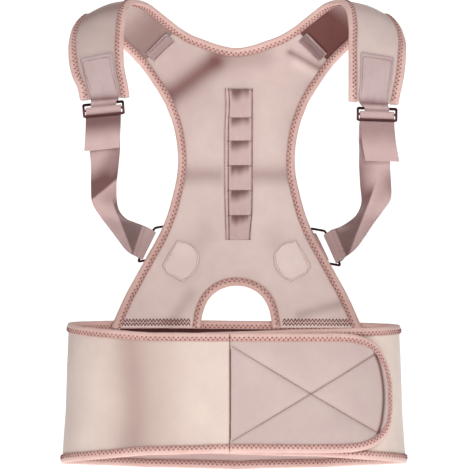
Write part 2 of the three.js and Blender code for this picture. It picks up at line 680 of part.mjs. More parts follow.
// Rings at the panel's sides: lower and upper end of the bar that the webbing holds
const ringRows = {
  right: { out: 0.567, up: 0.341, back: 0.905, inOut: 0.49, inUp: 0.411, inBack: 0.97 },
  left: { out: 0.6, up: 0.331, back: 0.885, inOut: 0.528, inUp: 0.403, inBack: 0.95 },
};
const tail = {
  right: { long: 38, lean: 1.5 },
  left: { long: 44, lean: 5 },
};
const ringInset = { out: 0.094, up: 0.008 }; // visible bar to the bar behind the panel
const ringLift = 6.4; // panel's middle to the bar behind it
const loopRadius = 2.7; // middle of the webbing to the middle of the ring's bar
const ringRoom = 3.8; // webbing's edge to the middle of the ring's arm
const turnBack = 13; // sewn end of the webbing past the ring
const turnBackStep = 0.6; // spare room between the sewn end and the webbing it lies on

function ringOf(name) {
  const side = sides[name];
  const r = ringRows[name];
  const low = fromRow(r.out, r.up, r.back, side);
  const high = fromRow(r.inOut, r.inUp, r.inBack, side);
  const behind = (p) => {
    const x = p.x - side * ringInset.out * halfWidth;
    return onBack(x, p.z + ringInset.up * rise, -ringLift).p;
  };
  const wider = high.clone().sub(low).setLength(ringRoom);
  const [end, top] = [low.clone().sub(wider), high.clone().add(wider)];
  return { low, high, corners: [end, top, behind(top), behind(end)] };
}

for (const [name, side] of Object.entries(sides)) {
  const { arm, neck } = barOf(name);
  const ring = ringOf(name);
  const rows = [];
  const both = (a, b) => rows.push([a, b]);
  const spot = (p, dx, dy, dz) => point(p.x + dx, p.y + dy, p.z + dz);
  for (const share of [1, 0.6, 0.25]) {
    const { long, lean } = tail[name];
    const shift = side * lean * share ** 2;
    both(spot(arm, shift, -roll, -long * share), spot(neck, shift, -roll, -long * share));
  }
  for (const degrees of [0, 60, 120, 180]) {
    const angle = THREE.MathUtils.degToRad(degrees);
    const [dy, dz] = [-roll * Math.cos(angle), roll * Math.sin(angle)];
    both(spot(arm, 0, dy, dz), spot(neck, 0, dy, dz));
  }
  for (const r of webbingRows[name])
    both(fromRow(r.out, r.up, r.back, side), fromRow(r.inOut, r.inUp, r.inBack, side));
  const [lastA, lastB] = rows[rows.length - 1];
  const way = ring.low.clone().add(ring.high).sub(lastA).sub(lastB).normalize();
  const bend = ring.high.clone().sub(ring.low).cross(way).normalize();
  if (bend.y > 0) bend.negate();
  const about = (forwards, out) => {
    const shift = way.clone().multiplyScalar(forwards).addScaledVector(bend, out);
    both(ring.low.clone().add(shift), ring.high.clone().add(shift));
  };
  about(0, loopRadius);
  about(loopRadius, 0);
  about(0, -loopRadius);
  const span = ring.low.clone().add(ring.high).sub(lastA).sub(lastB).length() / 2;
  const back = turnBack / span;
  const under = -webbingThickness - gap - turnBackStep;
  both(
    ring.low.clone().lerp(lastA, back).addScaledVector(bend, under + loopRadius * (1 - back)),
    ring.high.clone().lerp(lastB, back).addScaledVector(bend, under + loopRadius * (1 - back)),
  );
  const outer = smooth(rows.map((r) => r[0]));
  const inner = smooth(rows.map((r) => r[1]));
  const grid = gridOf((u, v) => outer.getPoint(v).lerp(inner.getPoint(v), u), 2, 2 * (rows.length - 1));
  add("webbing_" + name, thicken(grid.geometry, webbingThickness), satin);
}

// Closed wire through corner points with small bends
function wireLoop(corners, cut) {
  const centre = corners.reduce((sum, c) => sum.add(c), point(0, 0, 0)).divideScalar(corners.length);
  const [d1, d2] = [corners[2].clone().sub(corners[0]), corners[3].clone().sub(corners[1])];
  const axis = d1.cross(d2).normalize();
  const path = [];
  corners.forEach((c, k) => {
    const before = corners[(k + 3) % 4];
    const after = corners[(k + 1) % 4];
    const a = c.clone().addScaledVector(before.clone().sub(c).normalize(), cut);
    const b = c.clone().addScaledVector(after.clone().sub(c).normalize(), cut);
    path.push(a, a.clone().lerp(b, 0.5).lerp(c, 0.4), b);
  });
  const around = 8;
  const positions = [];
  const faces = [];
  path.forEach((p, k) => {
    const way = path[(k + 1) % path.length].clone().sub(path[(k + path.length - 1) % path.length]).normalize();
    const out = way.clone().cross(axis).normalize();
    if (out.dot(p.clone().sub(centre)) < 0) out.negate();
    const up = out.clone().cross(way).normalize();
    for (let i = 0; i < around; i++) {
      const angle = (2 * Math.PI * i) / around;
      const q = p.clone().addScaledVector(out, wireRadius * Math.cos(angle));
      q.addScaledVector(up, wireRadius * Math.sin(angle));
      positions.push(q.x, q.y, q.z);
      const next = (i + 1) % around;
      const [a, b] = [k * around, ((k + 1) % path.length) * around];
      faces.push([a + i, a + next, b + next], [a + i, b + next, b + i]);
    }
  });
  return solidFrom(positions, faces);
}

// Tabs that hold the rings, on the panel's far side
const tab = { thick: 1, low: 3.75, high: 5.3, middle: 6.1, inner: 0.12, reach: 17, hold: 2.45 };
for (const [name, side] of Object.entries(sides)) {
  const ring = ringOf(name);
  add("ring_" + name, wireLoop(ring.corners, 1.6), metal);
  const rows = [];
  const place = (u, inwards, lift) => {
    const p = ring.corners[3].clone().lerp(ring.corners[2], THREE.MathUtils.lerp(tab.inner, 1 - tab.inner, u));
    return onBack(p.x - side * inwards, p.z + 0.25 * inwards, -lift).p;
  };
  rows.push(
    (u) => place(u, tab.reach, tab.low),
    (u) => place(u, 0.5 * tab.reach, tab.low),
    (u) => place(u, 0, ringLift - tab.hold),
    (u) => place(u, -tab.hold, ringLift),
    (u) => place(u, 0, ringLift + tab.hold),
    (u) => place(u, 0.5 * tab.reach, tab.middle),
    (u) => place(u, tab.reach, tab.high),
  );
  const map = (u, v) => smooth(rows.map((row) => row(u))).getPoint(v);
  add("ring_tab_" + name, thicken(gridOf(map, 2, 12).geometry, tab.thick), satin);
}

// Patches on the strap ends, folded about the sliders' upper bars
const fold = { top: 0.73, back: 0.9, edge: 0.2, barEdge: 0.14, thick: 1.1, hold: 2.5, turnUp: 0.2, spread: 0.4 };
for (const [name] of Object.entries(sides)) {
  const { map } = straps[name];
  const { arm, neck } = barOf(name);
  const lift = sheet / 2 + 2 * gap + fold.thick / 2;
  const onStrap = (u, v, out) => {
    const across = THREE.MathUtils.lerp(fold.edge, 1 - fold.edge, u);
    const p = map(across, v);
    const a = map(across + 0.05, v).sub(map(across - 0.05, v));
    const b = map(across, v - 0.03).sub(p);
    const n = a.cross(b).normalize();
    return p.addScaledVector(n.y > 0 ? n.negate() : n, out);
  };
  const tilt = THREE.MathUtils.degToRad(bar.tilt);
  const [backShift, rose] = [bar.step * Math.sin(tilt), bar.step * Math.cos(tilt)];
  const aboutBar = (u, dy, dz) => {
    const p = neck.clone().lerp(arm, THREE.MathUtils.lerp(fold.barEdge, 1 - fold.barEdge, u));
    return point(p.x, p.y + backShift + dy, p.z + rose + dz);
  };
  const rows = [
    (u) => onStrap(u, fold.top, lift),
    (u) => onStrap(u, 0.5 + fold.top / 2, lift),
    (u) => onStrap(u, 1, lift),
    (u) => aboutBar(u, -fold.hold, fold.turnUp),
    (u) => aboutBar(u, 0, -fold.hold),
    (u) => aboutBar(u, fold.hold, fold.turnUp),
    (u) => onStrap(u, 1, -lift - fold.spread),
    (u) => onStrap(u, fold.back, -lift),
  ];
  const loop = (u, v) => smooth(rows.map((row) => row(u))).getPoint(v);
  add("strap_end_" + name, thicken(gridOf(loop, 2, 21).geometry, fold.thick), cloth);
}

export default group;
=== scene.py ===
import json
import math

import bmesh
import bpy
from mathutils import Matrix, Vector, noise

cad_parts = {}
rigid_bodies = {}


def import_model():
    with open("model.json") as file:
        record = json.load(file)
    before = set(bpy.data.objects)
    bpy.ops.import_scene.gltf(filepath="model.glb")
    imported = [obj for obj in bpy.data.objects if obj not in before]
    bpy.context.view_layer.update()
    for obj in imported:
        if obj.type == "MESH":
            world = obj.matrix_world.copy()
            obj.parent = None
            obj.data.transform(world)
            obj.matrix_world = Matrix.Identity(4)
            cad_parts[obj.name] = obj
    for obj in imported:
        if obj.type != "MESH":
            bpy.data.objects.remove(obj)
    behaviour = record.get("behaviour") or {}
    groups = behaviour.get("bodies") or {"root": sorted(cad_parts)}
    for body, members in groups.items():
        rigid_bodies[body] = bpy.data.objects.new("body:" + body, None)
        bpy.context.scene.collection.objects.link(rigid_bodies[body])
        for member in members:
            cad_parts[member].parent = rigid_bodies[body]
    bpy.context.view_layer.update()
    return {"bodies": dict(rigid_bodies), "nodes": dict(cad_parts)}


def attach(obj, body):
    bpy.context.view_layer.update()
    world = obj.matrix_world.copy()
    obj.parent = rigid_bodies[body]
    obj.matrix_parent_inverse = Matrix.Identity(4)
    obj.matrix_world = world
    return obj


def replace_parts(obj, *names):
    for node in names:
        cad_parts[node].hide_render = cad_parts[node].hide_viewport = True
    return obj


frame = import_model()

MM = 0.001
UP = Vector((0, 0, 1))
# half the width, the height over the waist and half the depth, all lengths in millimetres
HALF_WIDTH, RISE, HALF_DEPTH = 165.0, 371.0, 95.0
# thickness of the cloth and of the tape, gap between pieces, gap inside a folded tape
SHEET, TAPE, GAP, TAPE_GAP = 3.0, 0.7, 0.3, 0.8
ROUNDNESS = 2.4
# how far the belt's outer layer lies over its inner one
LAYER = SHEET + 2 * (TAPE + TAPE_GAP) + 2 * GAP
SIDES = {"right": -1, "left": 1}

# height share, half width share, half depth share of the torso's oval
TORSO = [
    (-0.22, 0.96, 0.99),
    (-0.05, 0.935, 0.95),
    (0.18, 0.915, 0.94),
    (0.4, 1.0, 0.98),
    (0.6, 1.1, 1.03),
    (0.8, 1.12, 1.0),
    (0.9, 1.12, 0.93),
    (1.0, 1.12, 0.8),
]
# inner edge across and up, outer edge across and up, from the leg's foot to the strap's root
PANEL = [
    (0.22, 0.16, 0.721, 0.161),
    (0.205, 0.2, 0.672, 0.212),
    (0.175, 0.232, 0.634, 0.249),
    (0.11, 0.26, 0.605, 0.272),
    (0, 0.273, 0.575, 0.297),
    (0, 0.34, 0.519, 0.342),
    (0, 0.42, 0.425, 0.42),
    (0, 0.5, 0.367, 0.499),
    (0, 0.585, 0.334, 0.585),
    (0, 0.67, 0.35, 0.665),
    (0, 0.77, 0.4, 0.735),
    (0, 0.885, 0.455, 0.78),
    (0.097, 0.892, 0.478, 0.795),
    (0.185, 0.905, 0.501, 0.811),
    (0.272, 0.92, 0.53, 0.829),
    (0.345, 0.94, 0.559, 0.846),
]
# rows of the panel's table where the arch ends, the neck's edge starts and the strap starts
ARCH_TOP, NECK_START, LAST_ROW = 4, 11, 15
# neck edge across, up and back, then arm edge across, up and back
STRAP_BACK = [
    (0.429, 0.969, 0.716, 0.628, 0.877, 0.758),
    (0.509, 0.995, 0.547, 0.725, 0.915, 0.579),
    (0.565, 1.002, 0.379, 0.821, 0.945, 0.4),
    (0.604, 1.0, 0.22, 0.888, 0.956, 0.22),
]
STRAP_FRONT = {
    "right": [
        (0.631, 0.98, 0.042, 0.933, 0.932, 0.021),
        (0.649, 0.941, -0.126, 0.953, 0.897, -0.147),
        (0.656, 0.886, -0.274, 0.953, 0.855, -0.295),
        (0.649, 0.826, -0.389, 0.934, 0.809, -0.4),
        (0.628, 0.78, -0.474, 0.899, 0.775, -0.474),
        (0.619, 0.752, -0.51, 0.884, 0.744, -0.51),
    ],
    "left": [
        (0.637, 0.982, 0.042, 0.936, 0.932, 0.021),
        (0.652, 0.941, -0.126, 0.962, 0.897, -0.147),
        (0.65, 0.886, -0.274, 0.962, 0.86, -0.295),
        (0.649, 0.826, -0.389, 0.951, 0.809, -0.4),
        (0.648, 0.775, -0.474, 0.93, 0.767, -0.474),
        (0.647, 0.741, -0.51, 0.915, 0.733, -0.51),
    ],
}
# turn, top and bottom of the belt in shares of the rise
BELT = [
    (0, 0.152, -0.14),
    (0.12, 0.1525, -0.148),
    (0.25, 0.174, -0.18),
    (0.38, 0.176, -0.2),
    (0.5, 0.174, -0.2065),
    (0.62, 0.172, -0.2),
    (0.75, 0.167, -0.178),
    (0.88, 0.161, -0.152),
    (1.1, 0.15, -0.14),
]
# across, where the flap starts and where the band's hidden end is
FLAP_START, BAND_END = -0.04, -0.2
# turns between which the band steps down under the flap
STEP_DOWN = (0.67, 0.79)
# across, top and bottom of the flap
FLAP = [
    (FLAP_START, 0.152, -0.141),
    (0.1, 0.152, -0.141),
    (0.22, 0.1518, -0.1415),
    (0.34, 0.1515, -0.142),
    (0.46, 0.151, -0.1424),
    (0.587, 0.1505, -0.1424),
    (0.672, 0.1468, -0.1399),
    (0.74, 0.138, -0.1323),
    (0.797, 0.1216, -0.1185),
    (0.836, 0.0952, -0.1009),
    (0.862, 0.0626, -0.0758),
    (0.877, 0.0248, -0.0405),
]
# outer edge across, up and back, then the other edge, from the slider to the ring
WEBBING = {
    "right": [
        (0.847, 0.668, -0.52, 0.664, 0.668, -0.52),
        (0.838, 0.618, -0.51, 0.664, 0.618, -0.51),
        (0.83, 0.575, -0.484, 0.673, 0.575, -0.484),
        (0.831, 0.529, -0.442, 0.685, 0.524, -0.432),
        (0.826, 0.486, -0.358, 0.678, 0.471, -0.295),
        (0.783, 0.45, -0.211, 0.636, 0.443, -0.021),
        (0.734, 0.42, -0.032, 0.592, 0.434, 0.189),
        (0.685, 0.389, 0.211, 0.548, 0.427, 0.421),
        (0.631, 0.358, 0.495, 0.51, 0.42, 0.632),
    ],
    "left": [
        (0.887, 0.656, -0.52, 0.696, 0.656, -0.52),
        (0.881, 0.618, -0.51, 0.699, 0.618, -0.51),
        (0.876, 0.58, -0.484, 0.699, 0.58, -0.484),
        (0.882, 0.537, -0.453, 0.705, 0.532, -0.442),
        (0.883, 0.496, -0.379, 0.715, 0.486, -0.316),
        (0.84, 0.463, -0.232, 0.687, 0.451, -0.042),
        (0.785, 0.428, -0.053, 0.638, 0.432, 0.168),
        (0.734, 0.392, 0.189, 0.595, 0.421, 0.4),
        (0.683, 0.361, 0.474, 0.55, 0.414, 0.611),
    ],
}
# low end of the ring's bar: across, up and back, then its high end
RING = {
    "right": (0.567, 0.341, 0.905, 0.49, 0.411, 0.97),
    "left": (0.6, 0.331, 0.885, 0.528, 0.403, 0.95),
}
# arm end of the slider's bar: across and up, then its neck end
BAR = {
    "right": (0.858, 0.7163, 0.658, 0.7252),
    "left": (0.898, 0.706, 0.704, 0.7087),
}
# how far back the bar is, distance and tilt to the slider's other bar, and the webbing's radius round the bar
BAR_BACK, BAR_STEP, BAR_TILT, ROLL = -0.5326, 7.3, math.radians(41), 2.3
# length and outward lean of the webbing's free end
TAIL = {"right": (38, 1.5), "left": (44, 5)}
# how far a strap is crowned across
CROWN = 3.6
# webbing at the ring: radius round the bar, length turned back, and the webbing's thickness
LOOP_RADIUS, TURN_BACK, WEBBING_THICK = 2.7, 13, 1.3


def lerp(a, b, t):
    return a + (b - a) * t


def clamp(x, low=0.0, high=1.0):
    return max(low, min(high, x))


def smoothstep(x, a, b):
    t = clamp((x - a) / (b - a))
    return t * t * (3 - 2 * t)


def bump(x, centre, width):
    """1 at the centre, fading to 0 over the width."""
    return math.exp(-(((x - centre) / width) ** 2))


def column(table, x, k):
    """Column k of a table at x, straight between its rows."""
    i = 0
    while i < len(table) - 2 and x > table[i + 1][0]:
        i += 1
    share = clamp((x - table[i][0]) / (table[i + 1][0] - table[i][0]))
    return lerp(table[i][k], table[i + 1][k], share)


def curve_at(points, t):
    """Centripetal curve through the points, t from 0 to 1 over equal steps of rows."""
    n = len(points) - 1
    x = clamp(t) * n
    i = min(int(x), n - 1)
    w = x - i
    p1, p2 = points[i], points[i + 1]
    p0 = points[i - 1] if i > 0 else p1 * 2 - p2
    p3 = points[i + 2] if i < n - 1 else p2 * 2 - p1
    d01, d12, d23 = [max((b - a).length, 1e-9) ** 0.5 for a, b in ((p0, p1), (p1, p2), (p2, p3))]
    m1 = ((p1 - p0) / d01 - (p2 - p0) / (d01 + d12) + (p2 - p1) / d12) * d12
    m2 = ((p2 - p1) / d12 - (p3 - p1) / (d12 + d23) + (p3 - p2) / d23) * d12
    w2, w3 = w * w, w * w * w
    return p1 * (2 * w3 - 3 * w2 + 1) + m1 * (w3 - 2 * w2 + w) + p2 * (3 * w2 - 2 * w3) + m2 * (w3 - w2)


def row_point(out, up, back, side):
    """A table's shares as a place."""
    return Vector((side * out * HALF_WIDTH, back * HALF_DEPTH, up * RISE))


def oval_at(z):
    """Half width and half depth of the torso's oval at a height."""
    up = z / RISE
    return HALF_WIDTH * column(TORSO, up, 1), HALF_DEPTH * column(TORSO, up, 2)


def back_y(x, z):
    """How far back the oval lies."""
    w, d = oval_at(z)
    return d * (1 - min(abs(x) / w, 0.98) ** ROUNDNESS) ** (1 / ROUNDNESS)


def on_back(x, z, lift=0.0):
    """Place and normal on the back panel. The normal faces the wearer."""
    fx = (back_y(x + 2, z) - back_y(x - 2, z)) / 4
    fz = (back_y(x, z + 6) - back_y(x, z - 6)) / 12
    n = Vector((fx, -1, fz)).normalized()
    return Vector((x, back_y(x, z), z)) + n * lift, n


def on_oval(turn, z, lift):
    """Place on the belt, turn 0 at the front's middle and growing towards the wearer's right."""
    a = 2 * math.pi * turn
    w, d = oval_at(z)
    sx, sy = -math.sin(a), -math.cos(a)
    r = ((abs(sx) / (w + lift)) ** ROUNDNESS + (abs(sy) / (d + lift)) ** ROUNDNESS) ** (-1 / ROUNDNESS)
    return Vector((r * sx, r * sy, z))


def oval_normal(turn, z, lift):
    around = on_oval(turn + 0.002, z, lift) - on_oval(turn - 0.002, z, lift)
    up = on_oval(turn, z + 0.5, lift) - on_oval(turn, z - 0.5, lift)
    return around.cross(up).normalized()


def turn_at(x, lift):
    """Turn of a place on the belt's front."""
    w, d = oval_at(0)
    y = (d + lift) * (1 - (abs(x) / (w + lift)) ** ROUNDNESS) ** (1 / ROUNDNESS)
    return math.atan2(-x, y) / (2 * math.pi)


def flat(across, up):
    return Vector((across, 0, up))


ARCH_ROWS = [flat(r[0], r[1]) for r in PANEL[: ARCH_TOP + 1]]
ARCH_LINE = ARCH_ROWS + [flat(-p.x, p.z) for p in reversed(ARCH_ROWS[:-1])]
NECK_ROWS = [flat(r[0], r[1]) for r in PANEL[NECK_START:]]
NECK_LINE = [flat(-p.x, p.z) for p in reversed(NECK_ROWS[1:])] + NECK_ROWS
OUTER_LINE = [flat(r[2], r[3]) for r in PANEL]


def panel_edges(row):
    """The panel's inner and outer edge at a row, in shares."""
    outer = curve_at(OUTER_LINE, row / LAST_ROW)
    if row < ARCH_TOP:
        return curve_at(ARCH_LINE, row / (2 * ARCH_TOP)), outer
    if row > NECK_START:
        return curve_at(NECK_LINE, 0.5 + (row - NECK_START) / (2 * (LAST_ROW - NECK_START))), outer
    i = min(int(row), NECK_START - 1)
    return flat(0, lerp(PANEL[i][1], PANEL[i + 1][1], row - i)), outer


def strap_lines(name):
    """A strap's neck edge and arm edge, from the panel to the slider."""
    side = SIDES[name]
    rows = STRAP_BACK + STRAP_FRONT[name]
    starts = [on_back(side * e.x * HALF_WIDTH, e.z * RISE)[0] for e in panel_edges(LAST_ROW)]
    neck = [starts[0]] + [row_point(r[0], r[1], r[2], side) for r in rows]
    arm = [starts[1]] + [row_point(r[3], r[4], r[5], side) for r in rows]
    return neck, arm


STRAPS = {name: strap_lines(name) for name in SIDES}


def on_strap(name, u, v, lift=0.0):
    """Place and normal, facing the wearer, on a strap: u from neck to arm edge, v from panel to slider."""
    neck, arm = STRAPS[name]
    v = clamp(v)
    p = curve_at(neck, v).lerp(curve_at(arm, v), u)
    p.z += CROWN * math.sin(math.pi * clamp(u)) * math.sin(math.pi * min(v * 1.3, 1)) ** 2
    across = curve_at(arm, v) - curve_at(neck, v)
    lo, hi = max(v - 0.012, 0), min(v + 0.012, 1)
    along = curve_at(neck, hi).lerp(curve_at(arm, hi), u) - curve_at(neck, lo).lerp(curve_at(arm, lo), u)
    n = across.cross(along).normalized() * SIDES[name]
    return p + n * lift, n


def ring_line(name):
    r = RING[name]
    return row_point(r[0], r[1], r[2], SIDES[name]), row_point(r[3], r[4], r[5], SIDES[name])


def bar_line(name):
    r = BAR[name]
    return row_point(r[0], r[1], BAR_BACK, SIDES[name]), row_point(r[2], r[3], BAR_BACK, SIDES[name])


def webbing_rows(name):
    """Pairs of edge points from the free end over the slider's bar, under the arm and round the ring."""
    side = SIDES[name]
    arm, neck = bar_line(name)
    low, high = ring_line(name)
    long, lean = TAIL[name]
    rows = []
    for share in (1, 0.6, 0.25):
        shift = Vector((side * lean * share * share, -ROLL, -long * share))
        rows.append((arm + shift, neck + shift))
    for degrees in (0, 60, 120, 180):
        a = math.radians(degrees)
        shift = Vector((0, -ROLL * math.cos(a), ROLL * math.sin(a)))
        rows.append((arm + shift, neck + shift))
    for r in WEBBING[name]:
        rows.append((row_point(r[0], r[1], r[2], side), row_point(r[3], r[4], r[5], side)))
    last_a, last_b = rows[-1]
    run = low + high - last_a - last_b
    way = run.normalized()
    bend = (high - low).cross(way).normalized()
    if bend.y > 0:
        bend = -bend
    for forwards, out in ((0, LOOP_RADIUS), (LOOP_RADIUS, 0), (0, -LOOP_RADIUS)):
        shift = way * forwards + bend * out
        rows.append((low + shift, high + shift))
    back = TURN_BACK / (run.length / 2)
    shift = bend * (-WEBBING_THICK - GAP - 0.6 + LOOP_RADIUS * (1 - back))
    rows.append((low.lerp(last_a, back) + shift, high.lerp(last_b, back) + shift))
    return rows


def finish_mesh(name, bm, material):
    mesh = bpy.data.meshes.new(name)
    bm.to_mesh(mesh)
    bm.free()
    mesh.shade_smooth()
    obj = bpy.data.objects.new(name, mesh)
    bpy.context.scene.collection.objects.link(obj)
    mesh.materials.append(material)
    return obj


def flat_grid(across, along, size, shades):
    """A flat grid over u and v, with a UV map in metres and the named shades, 0 plain to 1 dark."""
    bm = bmesh.new()
    bmesh.ops.create_grid(bm, x_segments=across, y_segments=along, size=0.5)
    uv = bm.loops.layers.uv.new("flat")
    for face in bm.faces:
        for loop in face.loops:
            co = loop.vert.co
            loop[uv].uv = ((co.x + 0.5) * size[0], (co.y + 0.5) * size[1])
    for label, shade in shades.items():
        layer = bm.verts.layers.float.new(label)
        for vert in bm.verts:
            vert[layer] = clamp(shade(vert.co.x + 0.5, vert.co.y + 0.5))
    return bm


def lay_out(bm, place):
    """Moves a flat grid's vertices to place(u, v), given in millimetres."""
    for vert in bm.verts:
        vert.co = place(vert.co.x + 0.5, vert.co.y + 0.5) * MM


def thicken(obj, thick):
    """Gives a sheet its thickness, half to each side."""
    solid = obj.modifiers.new("thickness", "SOLIDIFY")
    solid.thickness = thick * MM
    solid.offset = 0


def two_sided(sheet, other, turned=False):
    """Gives the far side of a sheet another cloth, or the near side where the sheet is turned."""
    if turned:
        sheet.data.flip_normals()
    sheet.data.materials.append(other)
    sheet.modifiers["thickness"].material_offset = 1
    sheet.modifiers["thickness"].material_offset_rim = 1


def cloth_grid(name, across, along, place, size, material, thick=0.0, weld=False, shades=None):
    """A grid laid out by place(u, v). Where it is welded, its two long edges meet and its ends are closed."""
    bm = flat_grid(across, along, size, shades or {})
    lay_out(bm, place)
    if weld:
        bmesh.ops.remove_doubles(bm, verts=bm.verts, dist=1e-6)
        bmesh.ops.holes_fill(bm, edges=[edge for edge in bm.edges if edge.is_boundary], sides=0)
        bmesh.ops.recalc_face_normals(bm, faces=bm.faces)
    obj = finish_mesh(name, bm, material)
    if thick:
        thicken(obj, thick)
    return obj


# cross section of a folded tape: millimetres inwards, and height in shares of the tape's half height
TAPE_SECTION = [
    (6.6, 0.93),
    (6.3, 1.02),
    (5.0, 1.1),
    (3.0, 1.12),
    (1.0, 1.06),
    (-0.6, 0.86),
    (-1.35, 0.45),
    (-1.5, 0.0),
    (-1.35, -0.45),
    (-0.6, -0.86),
    (1.0, -1.06),
    (3.0, -1.12),
    (5.0, -1.1),
    (6.3, -1.02),
    (6.6, -0.93),
    (6.4, -0.7),
    (0.0, -0.66),
    (0.0, 0.66),
    (6.4, 0.7),
    (6.6, 0.93),
]
# half height of the tape, pressed a little into the cloth
TAPE_HALF = SHEET / 2 + TAPE_GAP + TAPE - 0.35
# width of the tape laid flat in metres, and the step of its rows
TAPE_FLAT, TAPE_STEP = 0.0175, 1.55
# zigzag on a tape: step from turn to turn, and how far inwards its turns lie
STITCH_PITCH, STITCH_NEAR, STITCH_FAR = 2.15, 2.7, 5.4


def resample(samples, step):
    """Samples (point, normal, inward) moved to even steps along the line, with the length along it."""
    lengths = [0.0]
    for a, b in zip(samples, samples[1:]):
        lengths.append(lengths[-1] + (b[0] - a[0]).length)
    count = max(int(lengths[-1] / step), 2)
    out, i = [], 0
    for k in range(count + 1):
        s = lengths[-1] * k / count
        while i < len(samples) - 2 and lengths[i + 1] < s:
            i += 1
        w = clamp((s - lengths[i]) / max(lengths[i + 1] - lengths[i], 1e-9))
        a, b = samples[i], samples[i + 1]
        out.append((a[0].lerp(b[0], w), a[1].lerp(b[1], w).normalized(), a[2].lerp(b[2], w).normalized(), s))
    return out


def tape(name, samples, dim=None):
    """A folded tape about an edge, pinched a little where each zigzag stitch crosses it, and its stitches.
    dim(share along) gives the painted shadow on the side away from the normals."""
    line = resample(samples, TAPE_STEP)
    count = len(TAPE_SECTION) - 1

    # Painted shade in the fold at the tape's inner edge and across towards it, random tone along it, and
    # dim's painted shadow
    def shade(u, v):
        a, h = TAPE_SECTION[round(u * count)]
        s = line[round(v * (len(line) - 1))][3]
        rim = 0.6 if a > 6 else 0.3 * smoothstep(a, 1.5, 4.5)
        return rim + 0.14 * noise.noise(Vector((s * 0.2, a * 0.4, 1.0))) + (dim(v) if dim and h < 0 else 0)

    def place(u, v):
        k = round(v * (len(line) - 1))
        p, n, inward, s = line[k]
        a, h = TAPE_SECTION[round(u * count)]
        wave = math.cos(math.pi * s / STITCH_PITCH)
        soft = 0.16 * noise.noise(Vector((s * 0.12, a, 3.7)))
        if abs(h) > 0.5 and a > 0.5:
            h = h * (1 + 0.035 * wave * (1 if a > 3.5 else -1) + soft * 0.5)
        return p + inward * (a + soft) + n * (h * TAPE_HALF)

    size = (0.024, line[-1][3] * MM)
    obj = cloth_grid(name, count, len(line) - 1, place, size, edge_cloth, weld=True, shades={"shade": shade})
    stitches(name, line)
    return obj


THREADS = []


def stitches(name, line):
    """Zigzag thread on both faces of a tape, with a dark dash of painted shade in the needle hole at each
    turn.
    """
    thread, dashes = bmesh.new(), bmesh.new()
    total = line[-1][3]
    count = int(total / STITCH_PITCH)
    height = TAPE_HALF * 1.12
    for face in (1, -1):
        turns = []
        for k in range(count + 1):
            x = k * STITCH_PITCH / total * (len(line) - 1)
            i = min(int(x), len(line) - 2)
            p, n, inward = [line[i][j].lerp(line[i + 1][j], x - i) for j in range(3)]
            turns.append((p + inward * (STITCH_FAR if k % 2 else STITCH_NEAR), n * face))
        for k, ((a, n), (b, m)) in enumerate(zip(turns, turns[1:])):
            points = [a + n * (height - 0.2), a.lerp(b, 0.5) + n * (height + 0.1), b + m * (height - 0.2)]
            thread_tube(thread, points, n, 0.26, sides=4)
            way = (b - a).normalized()
            thread_tube(dashes, [a - way * 0.3 + n * height, a + way + n * (height + 0.14)], n, 0.5, sides=4)
    THREADS.append((name + "_stitches", thread, thread_pale))
    THREADS.append((name + "_dashes", dashes, dark_thread_and_shade))


def thread_tube(bm, points, normal, radius, sides=5):
    """Adds a closed tube of thread through the points."""
    rings = []
    for k, p in enumerate(points):
        way = (points[min(k + 1, len(points) - 1)] - points[max(k - 1, 0)]).normalized()
        out = way.cross(normal).normalized()
        up = out.cross(way)
        ring = []
        for i in range(sides):
            a = 2 * math.pi * i / sides
            ring.append(bm.verts.new((p + out * (radius * math.cos(a)) + up * (radius * math.sin(a))) * MM))
        rings.append(ring)
    for a, b in zip(rings, rings[1:]):
        for i in range(sides):
            j = (i + 1) % sides
            bm.faces.new((a[i], a[j], b[j], b[i]))
    bm.faces.new(list(reversed(rings[0])))
    bm.faces.new(rings[-1])


def at_length(line, s):
    """The sample of a line nearest to a length along it."""
    return line[min(round(s / line[-1][3] * (len(line) - 1)), len(line) - 1)]


def seam(name, spots, material, pitch=2.2, gap=0.35, radius=0.22):
    """A run of straight stitches along spots on the cloth, each a place and a normal."""
    line = resample([(p, n, n) for p, n in spots], 0.5)
    bm = bmesh.new()
    total = line[-1][3]
    count = max(int(total / pitch), 1)
    for k in range(count):
        a = at_length(line, total * (k + gap / 2) / count)
        b = at_length(line, total * (k + 1 - gap / 2) / count)
        middle = at_length(line, total * (k + 0.5) / count)
        points = [a[0] - a[1] * 0.1, middle[0] + middle[1] * 0.12, b[0] - b[1] * 0.1]
        thread_tube(bm, points, middle[1], radius)
    THREADS.append((name, bm, material))


def zigzag(name, spots, material, pitch, wide, radius):
    """Zigzag stitches along spots on the cloth, as wide up and down as given."""
    line = resample([(p, n, UP) for p, n in spots], 0.4)
    bm = bmesh.new()
    total = line[-1][3]
    count = max(int(total / pitch), 1)
    for k in range(count):
        a = at_length(line, total * k / count)
        b = at_length(line, total * (k + 1) / count)
        sign = 1 if k % 2 else -1
        p = a[0] + a[2] * (sign * wide / 2)
        q = b[0] - b[2] * (sign * wide / 2)
        thread_tube(bm, [p - a[1] * 0.15, p.lerp(q, 0.5) + a[1] * 0.15, q - b[1] * 0.15], a[1], radius)
    THREADS.append((name, bm, material))


def linear_colour(*tone):
    """Display colour 0..255 to the scene's linear colour."""
    shares = [c / 255 for c in tone]
    return tuple(c / 12.92 if c < 0.04 else ((c + 0.055) / 1.055) ** 2.4 for c in shares) + (1.0,)


def set_inputs(node, values):
    for name, value in values.items():
        node.inputs[name].default_value = value


def new_material(name):
    """A material and its shader."""
    material = bpy.data.materials.new(name)
    material.use_nodes = True
    return material, material.node_tree.nodes["Principled BSDF"]


def noise_node(nodes, links, where, scale, detail):
    """A noise over the piece's own place."""
    node = nodes.new("ShaderNodeTexNoise")
    set_inputs(node, {"Scale": scale, "Detail": detail})
    links.new(where.outputs["Object"], node.inputs["Vector"])
    return node


